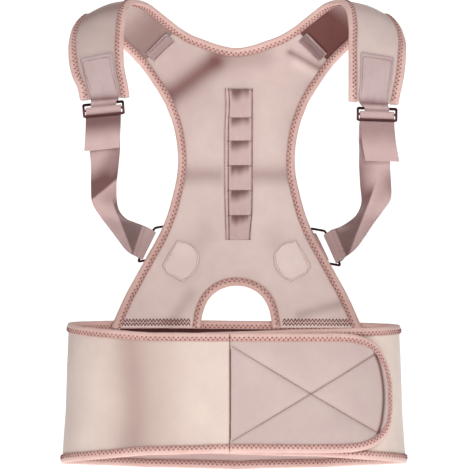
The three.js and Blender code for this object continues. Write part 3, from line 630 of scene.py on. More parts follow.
def fabric(name, light, dark, rough=0.85, grain=900.0, depth=0.12, sheen=0.25, ribs=0, painted_shade=None, by="shade"):
    """Cloth: two close tones mottled over the piece, with a fine knit in the bump, and ribs by their scale.
    The colour given for painted shade in its dips and folds is mixed in by the named attribute."""
    material, shader = new_material(name)
    nodes, links = material.node_tree.nodes, material.node_tree.links
    set_inputs(shader, {"Roughness": rough, "Specular IOR Level": 0.25})
    set_inputs(shader, {"Sheen Weight": sheen, "Sheen Roughness": 0.5})
    where = nodes.new("ShaderNodeTexCoord")
    mottle = noise_node(nodes, links, where, 28, 6)
    mottle.inputs["Roughness"].default_value = 0.65
    ramp = nodes.new("ShaderNodeValToRGB")
    for element, position, tone in zip(ramp.color_ramp.elements, (0.3, 0.7), (dark, light)):
        element.position = position
        element.color = linear_colour(*tone)
    links.new(mottle.outputs["Fac"], ramp.inputs["Fac"])
    colour = ramp.outputs["Color"]
    # Painted shade: the dark colour mixed in where the named attribute says
    if painted_shade:
        shade_mask = nodes.new("ShaderNodeAttribute")
        shade_mask.attribute_name = by
        mix = nodes.new("ShaderNodeMix")
        mix.data_type = "RGBA"
        mix.inputs[7].default_value = linear_colour(*painted_shade)
        links.new(shade_mask.outputs["Fac"], mix.inputs[0])
        links.new(colour, mix.inputs[6])
        colour = mix.outputs[2]
    links.new(colour, shader.inputs["Base Color"])
    fine = noise_node(nodes, links, where, grain, 2)
    height = fine.outputs["Fac"]
    if ribs:
        wave = nodes.new("ShaderNodeTexWave")
        wave.bands_direction = "X"
        set_inputs(wave, {"Scale": ribs, "Distortion": 0.4})
        links.new(where.outputs["UV"], wave.inputs["Vector"])
        both = nodes.new("ShaderNodeMix")
        both.inputs["Factor"].default_value = 0.5
        links.new(fine.outputs["Fac"], both.inputs["A"])
        links.new(wave.outputs["Fac"], both.inputs["B"])
        height = both.outputs["Result"]
    relief = nodes.new("ShaderNodeBump")
    set_inputs(relief, {"Strength": depth, "Distance": 0.0006})
    links.new(height, relief.inputs["Height"])
    links.new(relief.outputs["Normal"], shader.inputs["Normal"])
    return material


def metal(name, colour, rough):
    material, shader = new_material(name)
    set_inputs(shader, {"Base Color": linear_colour(*colour), "Metallic": 0.9, "Roughness": rough})
    return material


PALE = ((232, 212, 205), (220, 198, 192))
# Where a cloth gets a third, darkest colour below, that colour is painted shade, mixed in by its 'shade' or
# 'inside' attribute
panel_cloth = fabric("panel cloth", *PALE, painted_shade=(128, 86, 84))
inner_cloth = fabric("strap underside", *PALE, painted_shade=(112, 66, 62), by="inside")
plain_cloth = fabric("outer cloth", (226, 205, 198), (214, 191, 186))
belt_cloth = fabric("belt cloth", (236, 217, 205), (226, 206, 196), painted_shade=(160, 128, 122))
# The belt's inner face, a little darker than its outer face, with painted shadow mixed in by 'inside' towards
# its top at the back
belt_inside_cloth = fabric("belt inside", (222, 192, 186), (208, 178, 172), painted_shade=(74, 38, 36), by="inside")
flap_cloth = fabric("flap cloth", (205, 183, 177), (196, 173, 169), painted_shade=(112, 72, 68))
pad_cloth = fabric("pad cloth", (238, 218, 212), (226, 204, 199), painted_shade=(128, 86, 84))
patch_cloth = fabric("patch cloth", (206, 182, 180), (190, 163, 162), 0.95, sheen=0.6, painted_shade=(104, 66, 66))
velvet_cloth = fabric("brushed cloth", (222, 196, 192), (206, 178, 174), 0.95, sheen=0.8, painted_shade=(118, 82, 80))
SATIN = dict(rough=0.5, sheen=0.35, ribs=330.0, depth=0.35)
web_cloth = fabric("satin webbing", (208, 178, 175), (194, 162, 159), painted_shade=(104, 66, 64), **SATIN)
RIBBED = dict(ribs=400.0, depth=0.3)
edge_cloth = fabric("edge tape", (232, 196, 187), (220, 180, 171), painted_shade=(160, 108, 102), **RIBBED)
SPUN = dict(grain=3000.0, sheen=0.0)
thread_pale = fabric("pale thread", (206, 160, 151), (190, 144, 136), **SPUN)
# Dark thread for seams; along the flap's start and crease, and in the needle holes, it also stands for
# painted shade
dark_thread_and_shade = fabric("thread", (138, 84, 78), (118, 68, 64), **SPUN)
thread_soft = fabric("soft thread", (164, 126, 120), (146, 110, 105), **SPUN)
dark_metal = metal("dark metal", (74, 42, 44), 0.32)


def ridge(x, z, line, width):
    """1 on the line from (x0, z0) to (x1, z1), fading to 0 over the width around it."""
    x0, z0, x1, z1 = line
    t = clamp(((x - x0) * (x1 - x0) + (z - z0) * (z1 - z0)) / ((x1 - x0) ** 2 + (z1 - z0) ** 2))
    return math.exp(-(((x - lerp(x0, x1, t)) ** 2 + (z - lerp(z0, z1, t)) ** 2) / width**2))


# line of the fold as x0, z0, x1, z1, its width, and its depth (minus stands up)
PANEL_FOLDS = [
    ((-64, 284, -22, 316), 11, 2.6),
    ((-84, 270, -96, 292), 9, -0.8),
    ((52, 326, 90, 305), 3.6, 1.9),
    ((60, 316, 92, 298), 6, -0.9),
    ((62, 72, 104, 84), 5, 1.2),
    ((-62, 66, -44, 92), 7, 0.9),
    ((-12, 322, 24, 322), 12, 0.8),
    ((-52, 120, -30, 150), 12, 0.7),
    ((34, 150, 50, 120), 12, 0.7),
]


def panel_dip(x, z):
    """Depth of the folds and of the hollow across the waist."""
    folds = sum(depth * ridge(x, z, line, width) for line, width, depth in PANEL_FOLDS)
    return folds + 1.5 * bump(z, 207, 9) * smoothstep(abs(x), 6, 18)


def panel_relief(x, z):
    """Soft unevenness of the panel, towards the wearer."""
    return 0.9 * noise.noise(Vector((x * 0.018, z * 0.014, 2.0))) - panel_dip(x, z)


def panel_place(side):
    """Lays out one half of the panel, plain at its outer edge."""

    def place(u, v):
        inner, outer = panel_edges(v * LAST_ROW)
        at = inner.lerp(outer, 1 - u if side < 0 else u)
        x, z = side * at.x * HALF_WIDTH, at.z * RISE
        edge = min(1, (outer - at).length * HALF_WIDTH / 12)
        return on_back(x, z, panel_relief(x, z) * edge)[0]

    return place


def panel_shade(x, z):
    """Painted shade in the folds, at the strap roots, over the upper part and a little more towards the neck.
    """
    root = bump(z, 350, 16) * smoothstep(abs(x), 62, 92) * (0.15 if x < 0 else 0.25)
    height = 0.2 * smoothstep(z, 150, 300) + 0.1 * bump(z, 330, 28) * bump(x, 0, 50)
    return clamp(0.27 * panel_dip(x, z) + root + height)


def make_panel():
    bm = bmesh.new()
    for name, side in SIDES.items():
        half = cloth_grid("panel_" + name, 36, 150, panel_place(side), (0.09, 0.3), panel_cloth)
        mesh = half.data
        bm.from_mesh(mesh)
        bpy.data.objects.remove(half)
        bpy.data.meshes.remove(mesh)
    bmesh.ops.remove_doubles(bm, verts=bm.verts, dist=2e-5)
    bmesh.ops.recalc_face_normals(bm, faces=bm.faces)
    layer = bm.verts.layers.float.new("shade")
    for vert in bm.verts:
        vert[layer] = panel_shade(vert.co.x / MM, vert.co.z / MM)
    panel = finish_mesh("back_panel_cloth", bm, panel_cloth)
    thicken(panel, SHEET)
    two_sided(panel, plain_cloth, True)
    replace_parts(panel, "back_panel")


def strap_place(name):
    """Lays out a strap, sagging a little along its middle."""
    side = SIDES[name]

    def place(u, v):
        across = u if side > 0 else 1 - u
        middle = math.sin(math.pi * across) * (1 - smoothstep(v, 0.6, 0.75)) * smoothstep(v, 0.06, 0.15)
        sag = 0.9 + 0.8 * noise.noise(Vector((across * 2, v * 9, side * 3.0)))
        return on_strap(name, across, 0.004 + 0.996 * v, -sag * middle)[0]

    return place


# how much painted shade a strap has at its root underneath, how far up that reaches, then at its crest and
# down its front
STRAP_SHADE = {"right": (0.45, 0.3, 0.65, 0.32), "left": (0.9, 0.45, 0.25, 0.12)}


def make_strap(name):
    root, reach, crest, front = STRAP_SHADE[name]
    # 'inside' gives painted shade to the strap's underside, most at its root, and 'shade' to its other side
    # at the crest and down the front
    shades = {
        "inside": lambda u, v: root * (1 - smoothstep(v, 0.08, reach)) + 0.25,
        "shade": lambda u, v: crest * bump(v, 0.46, 0.07) + front * smoothstep(v, 0.4, 0.6),
    }
    size, place = (0.05, 0.21), strap_place(name)
    strap = cloth_grid("strap_cloth_" + name, 24, 120, place, size, inner_cloth, SHEET, shades=shades)
    two_sided(strap, panel_cloth)
    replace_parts(strap, "strap_" + name)


def strap_edge(name, at_neck):
    """Samples (place, normal, inward) along a strap's edge, from the panel to the slider."""
    edge, inside = (0.0, 0.1) if at_neck else (1.0, 0.9)
    out = []
    for k in range(141):
        p, n = on_strap(name, edge, k / 140)
        q, _ = on_strap(name, inside, k / 140)
        out.append((p, n, (q - p).normalized()))
    return out


def panel_edge(which, side, first, last, turn):
    """Samples along the panel's inner (0) or outer (1) edge between two rows, turn giving the inward side."""
    out, steps = [], int(abs(last - first) * 8)
    for k in range(steps + 1):
        row = lerp(first, last, k / steps)
        spots = []
        for r in (row - 0.1, row, row + 0.1):
            e = panel_edges(clamp(r, min(first, last), max(first, last)))[which]
            spots.append((side * e.x * HALF_WIDTH, e.z * RISE))
        before, (x, z), after = spots
        wx, wz = after[0] - before[0], after[1] - before[1]
        ix, iz = -wz * turn * side, wx * turn * side
        size = math.hypot(ix, iz)
        p, n = on_back(x, z)
        q, _ = on_back(x + 3 * ix / size, z + 3 * iz / size)
        out.append((p, n, (q - p).normalized()))
    return out


def band_lift(turn):
    """How far the band lies over the belt's inner layer."""
    return LAYER * (1 - smoothstep(turn, *STEP_DOWN))


# turns between which the band runs
BAND_FROM, BAND_TO = turn_at(FLAP_START * HALF_WIDTH, LAYER), 1 + turn_at(BAND_END * HALF_WIDTH, 0)


def belt_wave(turn, height):
    """Soft upright waves of the belt's front on the wearer's right, outwards."""
    x = on_oval(turn, 0, LAYER).x
    waves = 2.4 * bump(x, -134, 13) - 2.8 * bump(x, -98, 17) + 1.2 * bump(x, -45, 25)
    front = (1 - smoothstep(turn, 0.2, 0.25)) * math.sin(math.pi * clamp(height))
    return front * waves + 0.5 * noise.noise(Vector((turn * 30, height * 3, 0)))


def belt_shade(u, v):
    """Painted shade in the hollows of the belt's front, at its edge near x -160 towards the top, and lightly
    over all of it but its end towards +x.
    """
    turn = lerp(BAND_FROM, BAND_TO, u)
    if turn > 0.25:
        return 0.0
    x = on_oval(turn, 0, LAYER).x + 7 * (v - 0.5)
    across = 0.14 * (1 - smoothstep(x, 60, 130))
    return across + 0.5 * bump(x, -99, 16) + 0.24 * bump(x, -72, 22) + 0.3 * bump(x, -160, 10) * v


def belt_inside_shadow(u, v):
    """The belt's inside lies in shadow at the back, most at its top."""
    turn = lerp(BAND_FROM, BAND_TO, u)
    return smoothstep(v, 0.1, 0.8) * smoothstep(turn, 0.1, 0.25) * (1 - smoothstep(turn, 0.75, 0.9))


def tape_dim(v):
    """How far the inner side of the belt's tape lies in shadow, from one end of the belt to the other."""
    turn = lerp(BAND_FROM, BAND_TO, v)
    return 0.5 * smoothstep(turn, 0.25, 0.36) * (1 - smoothstep(turn, 0.68, 0.8))


def band_place(u, v):
    turn = lerp(BAND_FROM, BAND_TO, u)
    z = RISE * lerp(column(BELT, turn, 2), column(BELT, turn, 1), v)
    edge = min(1, 5 * min(v, 1 - v))
    free = smoothstep(turn, BAND_FROM, BAND_FROM + 0.01) * (1 - smoothstep(turn, 0.72, 0.8))
    return on_oval(turn, z, band_lift(turn) + free * edge * belt_wave(turn, v))


def make_belt():
    shades = {"shade": belt_shade, "inside": belt_inside_shadow}
    band = cloth_grid("belt_cloth", 260, 30, band_place, (0.9, 0.13), belt_inside_cloth, SHEET, shades=shades)
    two_sided(band, belt_cloth)
    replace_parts(band, "belt_band")
    for which, k, sign in (("top", 1, -1), ("bottom", 2, 1)):
        samples = []
        for j in range(401):
            turn = lerp(BAND_FROM, BAND_TO, j / 400)
            z, lift = RISE * column(BELT, turn, k), band_lift(turn)
            p = on_oval(turn, z, lift)
            q = on_oval(turn, z + sign * 5, lift)
            samples.append((p, oval_normal(turn, z, lift), (q - p).normalized()))
        edge = tape("belt_tape_" + which, samples, tape_dim)
        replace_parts(edge, "binding_belt_" + which)


FLAP_TOP = [flat(r[0], r[1]) for r in FLAP]
FLAP_BOTTOM = [flat(r[0], r[2]) for r in FLAP]


def flap_at(u, v):
    """Across and up on the flap, u from its start to its rounded end."""
    at = curve_at(FLAP_BOTTOM, u).lerp(curve_at(FLAP_TOP, u), v)
    return at.x * HALF_WIDTH + 2 * GAP * (1 - clamp(u * 40)), at.z * RISE


# the two rows of stitches that cross on the flap, as x0, z0, x1, z1
CROSS = [(-4, 45, 132, -38), (-4, -43, 129, 37)]


def flap_relief(x, z, u, v):
    """The flap puffs up between its two crossing rows of stitches."""
    inside = min(1, 6 * min(u, 1 - u, v, 1 - v))
    sunk = max(ridge(x, z, line, 7) for line in CROSS)
    tight = max(ridge(x, z, line, 1.6) for line in CROSS)
    return inside * (0.5 * noise.noise(Vector((x * 0.03, z * 0.03, 5.0))) + 1.0 * (1 - sunk) - 0.5 * tight)


def flap_place(u, v):
    x, z = flap_at(u, v)
    return on_oval(turn_at(x, LAYER), z, LAYER + flap_relief(x, z, u, v))


# the crease inside the flap's rounded end, drawn only as painted shade: across at its middle, how far it
# curves back, and its half height
CREASE, CREASE_CURVE, CREASE_HALF = 136, 7, 41


def flap_end(z):
    """Where the painted shade of the crease lies at a height."""
    return CREASE - CREASE_CURVE * (z / CREASE_HALF) ** 2


# Painted shade along the two crossing stitch rows and in the crease inside the rounded end
def flap_shade(u, v):
    x, z = flap_at(u, v)
    tight = max(ridge(x, z, line, 1.5) for line in CROSS)
    end = bump(x, flap_end(z), 1.5) * (1 - smoothstep(abs(z), 34, 44))
    return 0.2 * tight + end


def on_flap(x, z, lift):
    """Place and normal over the flap."""
    turn = turn_at(x, LAYER)
    return on_oval(turn, z, LAYER + SHEET / 2 + lift), oval_normal(turn, z, LAYER)


def flap_seams():
    for k, (x0, z0, x1, z1) in enumerate(CROSS):
        spots = [on_flap(lerp(x0, x1, j / 60), lerp(z0, z1, j / 60), 0.0) for j in range(61)]
        seam("flap_cross_%d" % k, spots, thread_soft, pitch=2.7, radius=0.33)
    # A near unbroken dark line along the flap's start: a seam, drawn dark as the painted shade of the step
    # there
    start = FLAP_START * HALF_WIDTH + 1.2
    spots = [on_flap(start, lerp(-41, 42.5, j / 40), 0.1) for j in range(41)]
    seam("flap_start_painted_shade_seam", spots, dark_thread_and_shade, pitch=2.0, gap=0.05, radius=0.4)
    # A near unbroken dark line along the crease, standing for its painted shade
    heights = [lerp(-39, 38, j / 60) for j in range(61)]
    spots = [on_flap(flap_end(z), z, 0.15) for z in heights]
    seam("flap_end_painted_crease_shade", spots, dark_thread_and_shade, gap=0.05, radius=0.4)


def make_flap():
    shades = {"shade": flap_shade}
    flap = cloth_grid("flap_cloth", 150, 90, flap_place, (0.165, 0.108), flap_cloth, SHEET, shades=shades)
    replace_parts(flap, "closure_flap")
    flap_seams()
    way = [flap_at(k / 120, 1) for k in range(121)]
    way += [flap_at(1, 1 - k / 20) for k in range(1, 20)]
    way += [flap_at(1 - k / 120, 0) for k in range(121)]
    edge = [on_oval(turn_at(x, LAYER), z, LAYER) for x, z in way]
    middle = on_oval(turn_at(60, LAYER), 0, LAYER)
    line = []
    for k, (x, z) in enumerate(way):
        n = oval_normal(turn_at(x, LAYER), z, LAYER)
        along = edge[min(k + 2, len(way) - 1)] - edge[max(k - 2, 0)]
        inward = n.cross(along.normalized())
        if inward.dot(middle - edge[k]) < 0:
            inward = -inward
        line.append((edge[k], n, inward.normalized()))
    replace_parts(tape("flap_tape", line), "binding_flap")


def between(name, across, along, low, high, size, material, shade=lambda u, v: 0.0):
    """A thin closed piece between two layouts of the same grid, its edges rounded over."""

    def over(u, v):
        a, b = low(u, v), high(u, v)
        edge = min(u * across, (1 - u) * across, v * along, (1 - v) * along)
        return a.lerp(b, (1 - (1 - clamp(edge / 1.6)) ** 2.2) if edge < 1.6 else 1.0)

    bm = bmesh.new()
    for place in (low, over):
        part = flat_grid(across, along, size, {"shade": shade})
        lay_out(part, place)
        mesh = bpy.data.meshes.new("part")
        part.to_mesh(mesh)
        part.free()
        bm.from_mesh(mesh)
        bpy.data.meshes.remove(mesh)
    bmesh.ops.remove_doubles(bm, verts=bm.verts, dist=1e-6)
    bmesh.ops.recalc_face_normals(bm, faces=bm.faces)
    return finish_mesh(name, bm, material)


# height of a sewn piece's underside over the middle of the sheet it lies on
ON_SHEET = SHEET / 2 + 0.5
# the padded strip's edges, then the heights of its cross seams from its bottom to its top
STRIP = {"left": -0.074, "right": 0.098, "bottom": 0.389, "top": 0.784}
STRIP_SEAMS = [0, 0.16, 0.325, 0.49, 0.655, 0.81, 1]


def strip_at(u, v, lift):
    """Place and normal on the strip, whose edges wander a little at its ends."""
    x = lerp(STRIP["left"], STRIP["right"], u) * HALF_WIDTH
    x += 1.2 * bump(v, 0.9, 0.12) * (1 - u) - 2.4 * bump(v, 0.0, 0.14) * u + 1.3 * bump(v, 0.0, 0.2) * (1 - u)
    z = lerp(STRIP["bottom"], STRIP["top"], v) * RISE
    return on_back(x, z, lift + panel_relief(x, z))


def pocket_at(v):
    """The pocket that v lies in, and how far up it, 0 to 1."""
    k = 0
    while k < len(STRIP_SEAMS) - 2 and v > STRIP_SEAMS[k + 1]:
        k += 1
    return k, clamp((v - STRIP_SEAMS[k]) / (STRIP_SEAMS[k + 1] - STRIP_SEAMS[k]))


def pocket_height(u, v):
    """Height of a stuffed pocket over its seams, 0 to 1, with gathers at the cross seams."""
    k, t = pocket_at(v)
    across = clamp((u - 0.16) / 0.76)
    dome = (3.2 * t**0.55 * (1 - t) ** 0.95) ** 0.6 * (4 * across * (1 - across)) ** 0.45
    pull = 0.16 * math.sin(u * 31 + k * 2.1) * bump(min(t, 1 - t), 0.0, 0.22)
    return max(0.0, dome + pull * (1 if 0.2 < u < 0.86 else 0))


def pocket_shade(u, v):
    """Painted shadow under each cross seam, where the pocket above hangs over it, painted shade in the side
    seams and a little over each pocket.
    """
    k, t = pocket_at(v)
    inside = smoothstep(u, 0.16, 0.3) * (1 - smoothstep(u, 0.8, 0.96))
    under = smoothstep(t + 0.12 * noise.noise(Vector((u * 5, k * 3.0, 0.5))) - 0.25 * (u - 0.4), 0.45, 0.95)
    return 0.85 * under * inside + 0.4 * (bump(u, 0.15, 0.03) + bump(u, 0.96, 0.03)) + 0.12 * inside


def make_strip():
    def base(u, v):
        return strip_at(u, v, ON_SHEET)[0]

    def top(u, v):
        return strip_at(u, v, ON_SHEET + 0.7 + 2.3 * pocket_height(u, v))[0]

    strip = between("pocket_strip", 44, 200, base, top, (0.028, 0.147), velvet_cloth, pocket_shade)
    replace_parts(strip, "magnet_strip")
    # name of the row, where it runs across the strip, thickness of its thread
    for key, u, radius in (("left_out", 0.035, 0.3), ("left_in", 0.15, 0.42), ("right", 0.965, 0.42)):
        spots = [strip_at(u, k / 100, ON_SHEET + 0.72) for k in range(101)]
        seam("strip_seam_" + key, spots, dark_thread_and_shade, 2.4, 0.12, radius)
    for k, v in enumerate(STRIP_SEAMS):
        v = clamp(v, 0.008, 0.992)
        spots = [strip_at(lerp(0.1, 0.98, j / 30), v, ON_SHEET + 0.9) for j in range(31)]
        zigzag("strip_cross_%d" % k, spots, thread_soft, pitch=1.4, wide=1.8, radius=0.28)


# outer edge across and up, then inner edge, from the patch's top to its bottom
SIDE_PATCH = [
    (0.352, 0.388, 0.296, 0.382),
    (0.376, 0.37, 0.243, 0.366),
    (0.398, 0.354, 0.218, 0.345),
    (0.42, 0.337, 0.226, 0.32),
    (0.436, 0.32, 0.262, 0.296),
    (0.41, 0.3, 0.322, 0.279),
]


PATCH_OUTER = [flat(r[0], r[1]) for r in SIDE_PATCH]
PATCH_INNER = [flat(r[2], r[3]) for r in SIDE_PATCH]
PATCH_THICK = 1.1


def side_patch_at(side, u, v, lift):
    at = curve_at(PATCH_OUTER, v).lerp(curve_at(PATCH_INNER, v), u)
    x, z = side * at.x * HALF_WIDTH, at.z * RISE
    return on_back(x, z, lift + panel_relief(x, z))


def make_side_patch(name):
    side = SIDES[name]

    def base(u, v):
        return side_patch_at(side, u, v, ON_SHEET)[0]

    def top(u, v):
        return side_patch_at(side, u, v, ON_SHEET + PATCH_THICK)[0]

    patch = between("side_patch_cloth_" + name, 26, 34, base, top, (0.026, 0.036), pad_cloth)
    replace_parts(patch, "side_patch_" + name)
    rim = [(u, 0.05) for u in (0.08, 0.3, 0.5, 0.7, 0.9)] + [(0.93, v / 20) for v in range(2, 19)]
    rim += [(u, 0.95) for u in (0.9, 0.7, 0.5, 0.3, 0.08)] + [(0.07, v / 20) for v in range(18, 0, -1)]
    spots = [side_patch_at(side, u, v, ON_SHEET + PATCH_THICK + 0.02) for u, v in rim]
    seam("side_patch_seam_" + name, spots, thread_soft, pitch=2.6)


# the band over a strap's root: share free at each edge, reach on the panel and on the strap, strap's length
BAND_INSIDE, ON_PANEL, ON_STRAP, STRAP_REACH = 0.215, 7.2, 6.8, 200


def join_at(name, u, v, lift):
    """Place and normal on the band over a strap's root: v 0 on the panel, 1 on the strap."""
    side = SIDES[name]
    share = lerp(BAND_INSIDE, 1 - BAND_INSIDE, u)
    inner, outer = panel_edges(LAST_ROW)
    at = inner.lerp(outer, share)
    down = Vector(((outer.z - inner.z) * RISE, (inner.x - outer.x) * HALF_WIDTH)).normalized()
    reach = lerp(-ON_PANEL, ON_STRAP, v)
    shift = down * max(-reach, 0)
    p, n = on_back(side * (at.x * HALF_WIDTH + shift.x), at.z * RISE + shift.y, lift)
    if reach > 0:
        q, m = on_strap(name, share, reach / STRAP_REACH)
        n = m.lerp(n, max(0, 1 - reach / ON_STRAP)).normalized()
        p = q + n * (lift + 0.7 * min(1, reach))
    return p, n


def make_join_band(name):
    # Painted shade over the band's middle, between its seams, heavier on the left strap's band
    dark = 0.35 if name == "right" else 0.7

    def base(u, v):
        return join_at(name, u, v, ON_SHEET)[0]

    def top(u, v):
        return join_at(name, u, v, ON_SHEET + 1.2 + 0.7 * bump(min(v, 1 - v), 0.0, 0.12))[0]

    def shade(u, v):
        return dark * smoothstep(min(v, 1 - v), 0.1, 0.25)

    band = between("join_band_cloth_" + name, 30, 16, base, top, (0.03, 0.014), patch_cloth, shade)
    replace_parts(band, "join_band_" + name)
    for k, v in enumerate((0.13, 0.87)):
        spots = [join_at(name, lerp(0.04, 0.96, j / 20), v, ON_SHEET + 1.5) for j in range(21)]
        seam("join_seam_%s_%d" % (name, k), spots, dark_thread_and_shade, 2.4, 0.1, 0.34)


# painted shade at the webbing's folds seen from the front: line as x0, z0, x1, z1, how dark the shade on its
# left side is, and how far it reaches
WEB_FOLDS = {
    "right": (((-137, 182, -113, 201), 0.8, 16), ((-113, 168, -103, 139), 0.8, 24)),
    "left": (((108, 129, 123, 173), 0.95, 22),),
}
# line where the webbing's sewn end starts, with the ring on its left side
WEB_ENDS = {"right": (-92, 157, -100, 133), "left": (107, 128, 96, 154)}


def past_line(x, z, line):
    """How far a point lies to the left of a line, and where along it, as a share of its length."""
    x0, z0, x1, z1 = line
    long, up = x1 - x0, z1 - z0
    size = math.hypot(long, up)
    past = (long * (z - z0) - up * (x - x0)) / size
    return past, (long * (x - x0) + up * (z - z0)) / size**2


def web_dark(name, x, z, soft):
    """Painted shade on the webbing between the slider and the ring: darker past each fold, lighter before it,
    light on the sewn end with dark lines at and near its edge.
    """
    dark = soft
    for line, painted_shade, reach in WEB_FOLDS[name]:
        past, along = past_line(x, z, line)
        near = smoothstep(along, -0.6, -0.1) * (1 - smoothstep(along, 1.1, 1.7))
        if past > 0:
            dark += near * painted_shade * math.exp(-past / reach) * smoothstep(past, 0, 1.2)
        else:
            dark *= 1 - 0.7 * near * math.exp(past / 12)
    past, along = past_line(x, z, WEB_ENDS[name])
    sewn = smoothstep(past, -0.5, 0.5)
    return lerp(dark, 0.2, sewn) + 0.8 * bump(past, 0, 0.9) + 0.3 * bump(past, 4, 0.7)


def make_webbing(name):
    tail_dark = 0.9 if name == "right" else 0.5
    rows = webbing_rows(name)
    outer, inner = [r[0] for r in rows], [r[1] for r in rows]

    def place(u, v):
        return curve_at(outer, v).lerp(curve_at(inner, v), u)

    # Painted shadow on the free end just under the slider's bar, as strong as tail_dark, then painted shade
    # over the run, varied at random and shaped by web_dark
    def shade(u, v):
        tail = tail_dark * smoothstep(v, 0.02, 0.1) * (1 - smoothstep(v, 0.116, 0.13))
        soft = 0.4 + 0.6 * noise.noise(Vector((v * 12, u * 1.4, 4.0 * SIDES[name])))
        spot = place(u, v)
        return tail + smoothstep(v, 0.36, 0.4) * web_dark(name, spot.x, spot.z, soft)

    size, shades = (0.032, 0.36), {"shade": shade}
    web = cloth_grid("webbing_cloth_" + name, 32, 260, place, size, web_cloth, WEBBING_THICK, shades=shades)
    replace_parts(web, "webbing_" + name)


# the patch that holds the slider: where it starts on the strap's front and ends on its back, the share free
# at each edge on the strap and on the bar, its thickness and its radius round the bar
FOLD_TOP, FOLD_BACK, FOLD_EDGE, FOLD_BAR, FOLD_THICK, FOLD_HOLD = 0.73, 0.9, 0.2, 0.14, 1.1, 2.5


def fold_rows(name, u):
    """Places along the patch, from the strap's front round the slider's upper bar to the strap's back."""
    arm, neck = bar_line(name)
    lift = SHEET / 2 + GAP + FOLD_THICK / 2 + 0.3
    across = lerp(FOLD_EDGE, 1 - FOLD_EDGE, u)
    base = neck.lerp(arm, lerp(FOLD_BAR, 1 - FOLD_BAR, u))
    base = base + Vector((0, BAR_STEP * math.sin(BAR_TILT), BAR_STEP * math.cos(BAR_TILT)))
    rows = [on_strap(name, across, v, -lift)[0] for v in (FOLD_TOP, 0.5 + FOLD_TOP / 2, 1)]
    rows += [base + Vector((0, y, z)) for y, z in ((-FOLD_HOLD, 0.2), (0, -FOLD_HOLD), (FOLD_HOLD, 0.2))]
    rows += [on_strap(name, across, 1, lift + 0.4)[0], on_strap(name, across, FOLD_BACK, lift)[0]]
    return rows


def make_strap_end(name):
    def place(u, v):
        return curve_at(fold_rows(name, u), v)

    # Painted shadow where the patch leaves the strap's end for the slider's bar, with a faint random tone
    def shade(u, v):
        return 0.8 * bump(v, 0.31, 0.05) + 0.1 * noise.noise(Vector((u * 40, v * 6, 2.0)))

    def top(u, v):
        p, n = on_strap(name, lerp(FOLD_EDGE, 1 - FOLD_EDGE, u), lerp(FOLD_TOP, 1, v), -(SHEET / 2 + 2.0))
        return p, -n

    size, shades = (0.032, 0.08), {"shade": shade}
    end = cloth_grid("strap_end_cloth_" + name, 16, 90, place, size, patch_cloth, FOLD_THICK, shades=shades)
    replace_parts(end, "strap_end_" + name)
    rim = [(0.06, v / 12) for v in range(11, 0, -1)] + [(u / 10, 0.07) for u in range(1, 10)]
    rim += [(0.94, v / 12) for v in range(1, 12)]
    seam("strap_end_seam_" + name, [top(u, v) for u, v in rim], thread_soft, pitch=2.4)


def join_tapes():
    """The tapes that run over more than one piece: sides, neck and arch."""
    neck, arch = {}, {}
    for name, side in SIDES.items():
        way = panel_edge(1, side, 0, LAST_ROW, 1) + strap_edge(name, False)[1:]
        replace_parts(tape("side_tape_" + name, way), "binding_side_" + name)
        neck[name] = panel_edge(0, side, NECK_START, LAST_ROW, -1) + strap_edge(name, True)[1:]
        arch[name] = panel_edge(0, side, 0, ARCH_TOP, -1)
    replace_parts(tape("neck_tape", neck["right"][::-1] + neck["left"][1:]), "binding_neck")
    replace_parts(tape("arch_tape", arch["right"] + arch["left"][::-1][1:]), "binding_arch")


# where a foot's seam to the belt runs: from and to across, then the heights of its two rows
FOOT_FROM, FOOT_TO, FOOT_ROWS = 45, 111, (63.0, 66.5)


def foot_seams():
    """Two rows of zigzag that sew each foot of the panel to the belt."""
    for name, side in SIDES.items():
        for k, z in enumerate(FOOT_ROWS):
            spots = [on_back(side * lerp(FOOT_FROM, FOOT_TO, j / 40), z, SHEET / 2 + 0.25) for j in range(41)]
            zigzag("foot_seam_%s_%d" % (name, k), spots, dark_thread_and_shade, pitch=1.7, wide=3.2, radius=0.42)


def sew_threads():
    """Each seam's thread becomes one mesh."""
    for name, bm, material in THREADS:
        finish_mesh(name, bm, material)


make_panel()
for name in SIDES:
    make_strap(name)
    make_side_patch(name)
    make_join_band(name)
    make_webbing(name)
    make_strap_end(name)
make_strip()
make_belt()
make_flap()
join_tapes()
foot_seams()
sew_threads()

def dress(node, material):
    """Gives a solid of the frame its material."""
    piece = frame["nodes"][node]
    piece.data.materials.clear()
    piece.data.materials.append(material)
    return piece


for name in SIDES:
    for node in ("ring_", "slider_"):
        edges = dress(node + name, dark_metal).modifiers.new("smooth", "BEVEL")
        edges.width = 0.0004
        edges.segments = 2
    dress("ring_tab_" + name, web_cloth)


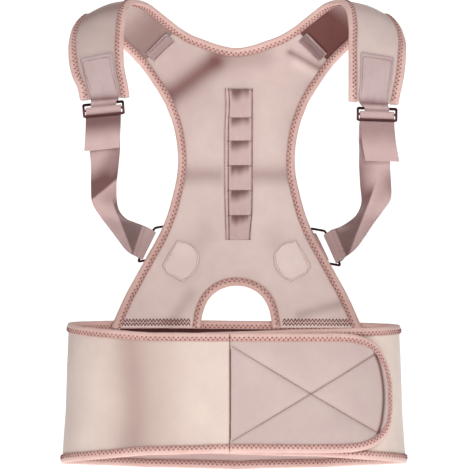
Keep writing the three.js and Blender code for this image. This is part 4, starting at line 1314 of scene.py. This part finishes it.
def backdrop():
    """A pale floor, and a white dome that only the camera sees."""
    white, shader = new_material("white backdrop")
    set_inputs(shader, {"Base Color": (0.9, 0.9, 0.9, 1), "Emission Color": (1, 1, 1, 1)})
    set_inputs(shader, {"Emission Strength": 1.0})
    bm = bmesh.new()
    bmesh.ops.create_grid(bm, x_segments=1, y_segments=1, size=6)
    bmesh.ops.translate(bm, verts=bm.verts, vec=(0, 0, -0.6))
    floor = finish_mesh("floor", bm, white)
    bm = bmesh.new()
    bmesh.ops.create_icosphere(bm, subdivisions=4, radius=11)
    dome = finish_mesh("backdrop", bm, white)
    dome.visible_diffuse = dome.visible_glossy = False


# place, power in watts and size in metres of each lamp
LAMPS = {
    "key": ((0.9, -2.3, 1.3), 26.5, 0.8),
    "fill": ((-1.4, -2.1, 0.7), 11.5, 1.4),
    "top": ((-0.2, -0.3, 2.3), 9, 1.0),
    "back": ((0.3, 2.5, 1.2), 12, 1.4),
}
# height of the object's middle, distance of the camera and width of what it sees there, in metres
MIDDLE, CAMERA_AWAY, SEEN = 0.149, 5.0, 0.4465


def light_studio():
    world = bpy.data.worlds.new("studio")
    bpy.context.scene.world = world
    world.use_nodes = True
    set_inputs(world.node_tree.nodes["Background"], {"Color": (1, 1, 1, 1), "Strength": 0.14})
    for label, (place, power, size) in LAMPS.items():
        lamp = bpy.data.lights.new(label, "AREA")
        lamp.energy = power
        lamp.size = size
        obj = bpy.data.objects.new(label, lamp)
        obj.location = place
        obj.rotation_euler = (Vector((0, 0, 0.14)) - Vector(place)).to_track_quat("-Z", "Y").to_euler()
        bpy.context.scene.collection.objects.link(obj)


def set_camera():
    camera = bpy.data.cameras.new("camera")
    camera.sensor_width = 36
    camera.lens = 36 * CAMERA_AWAY / SEEN
    camera.clip_end = 30
    eye = bpy.data.objects.new("camera", camera)
    eye.location = (-0.0014, -CAMERA_AWAY, MIDDLE)
    eye.rotation_euler = (math.pi / 2, 0, 0)
    bpy.context.scene.collection.objects.link(eye)
    bpy.context.scene.camera = eye
    bpy.context.scene.view_settings.view_transform = "Standard"


body = next(iter(frame["bodies"]))
for obj in list(bpy.context.scene.objects):
    if obj.type == "MESH" and obj.name not in frame["nodes"]:
        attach(obj, body)
backdrop()
light_studio()
set_camera()
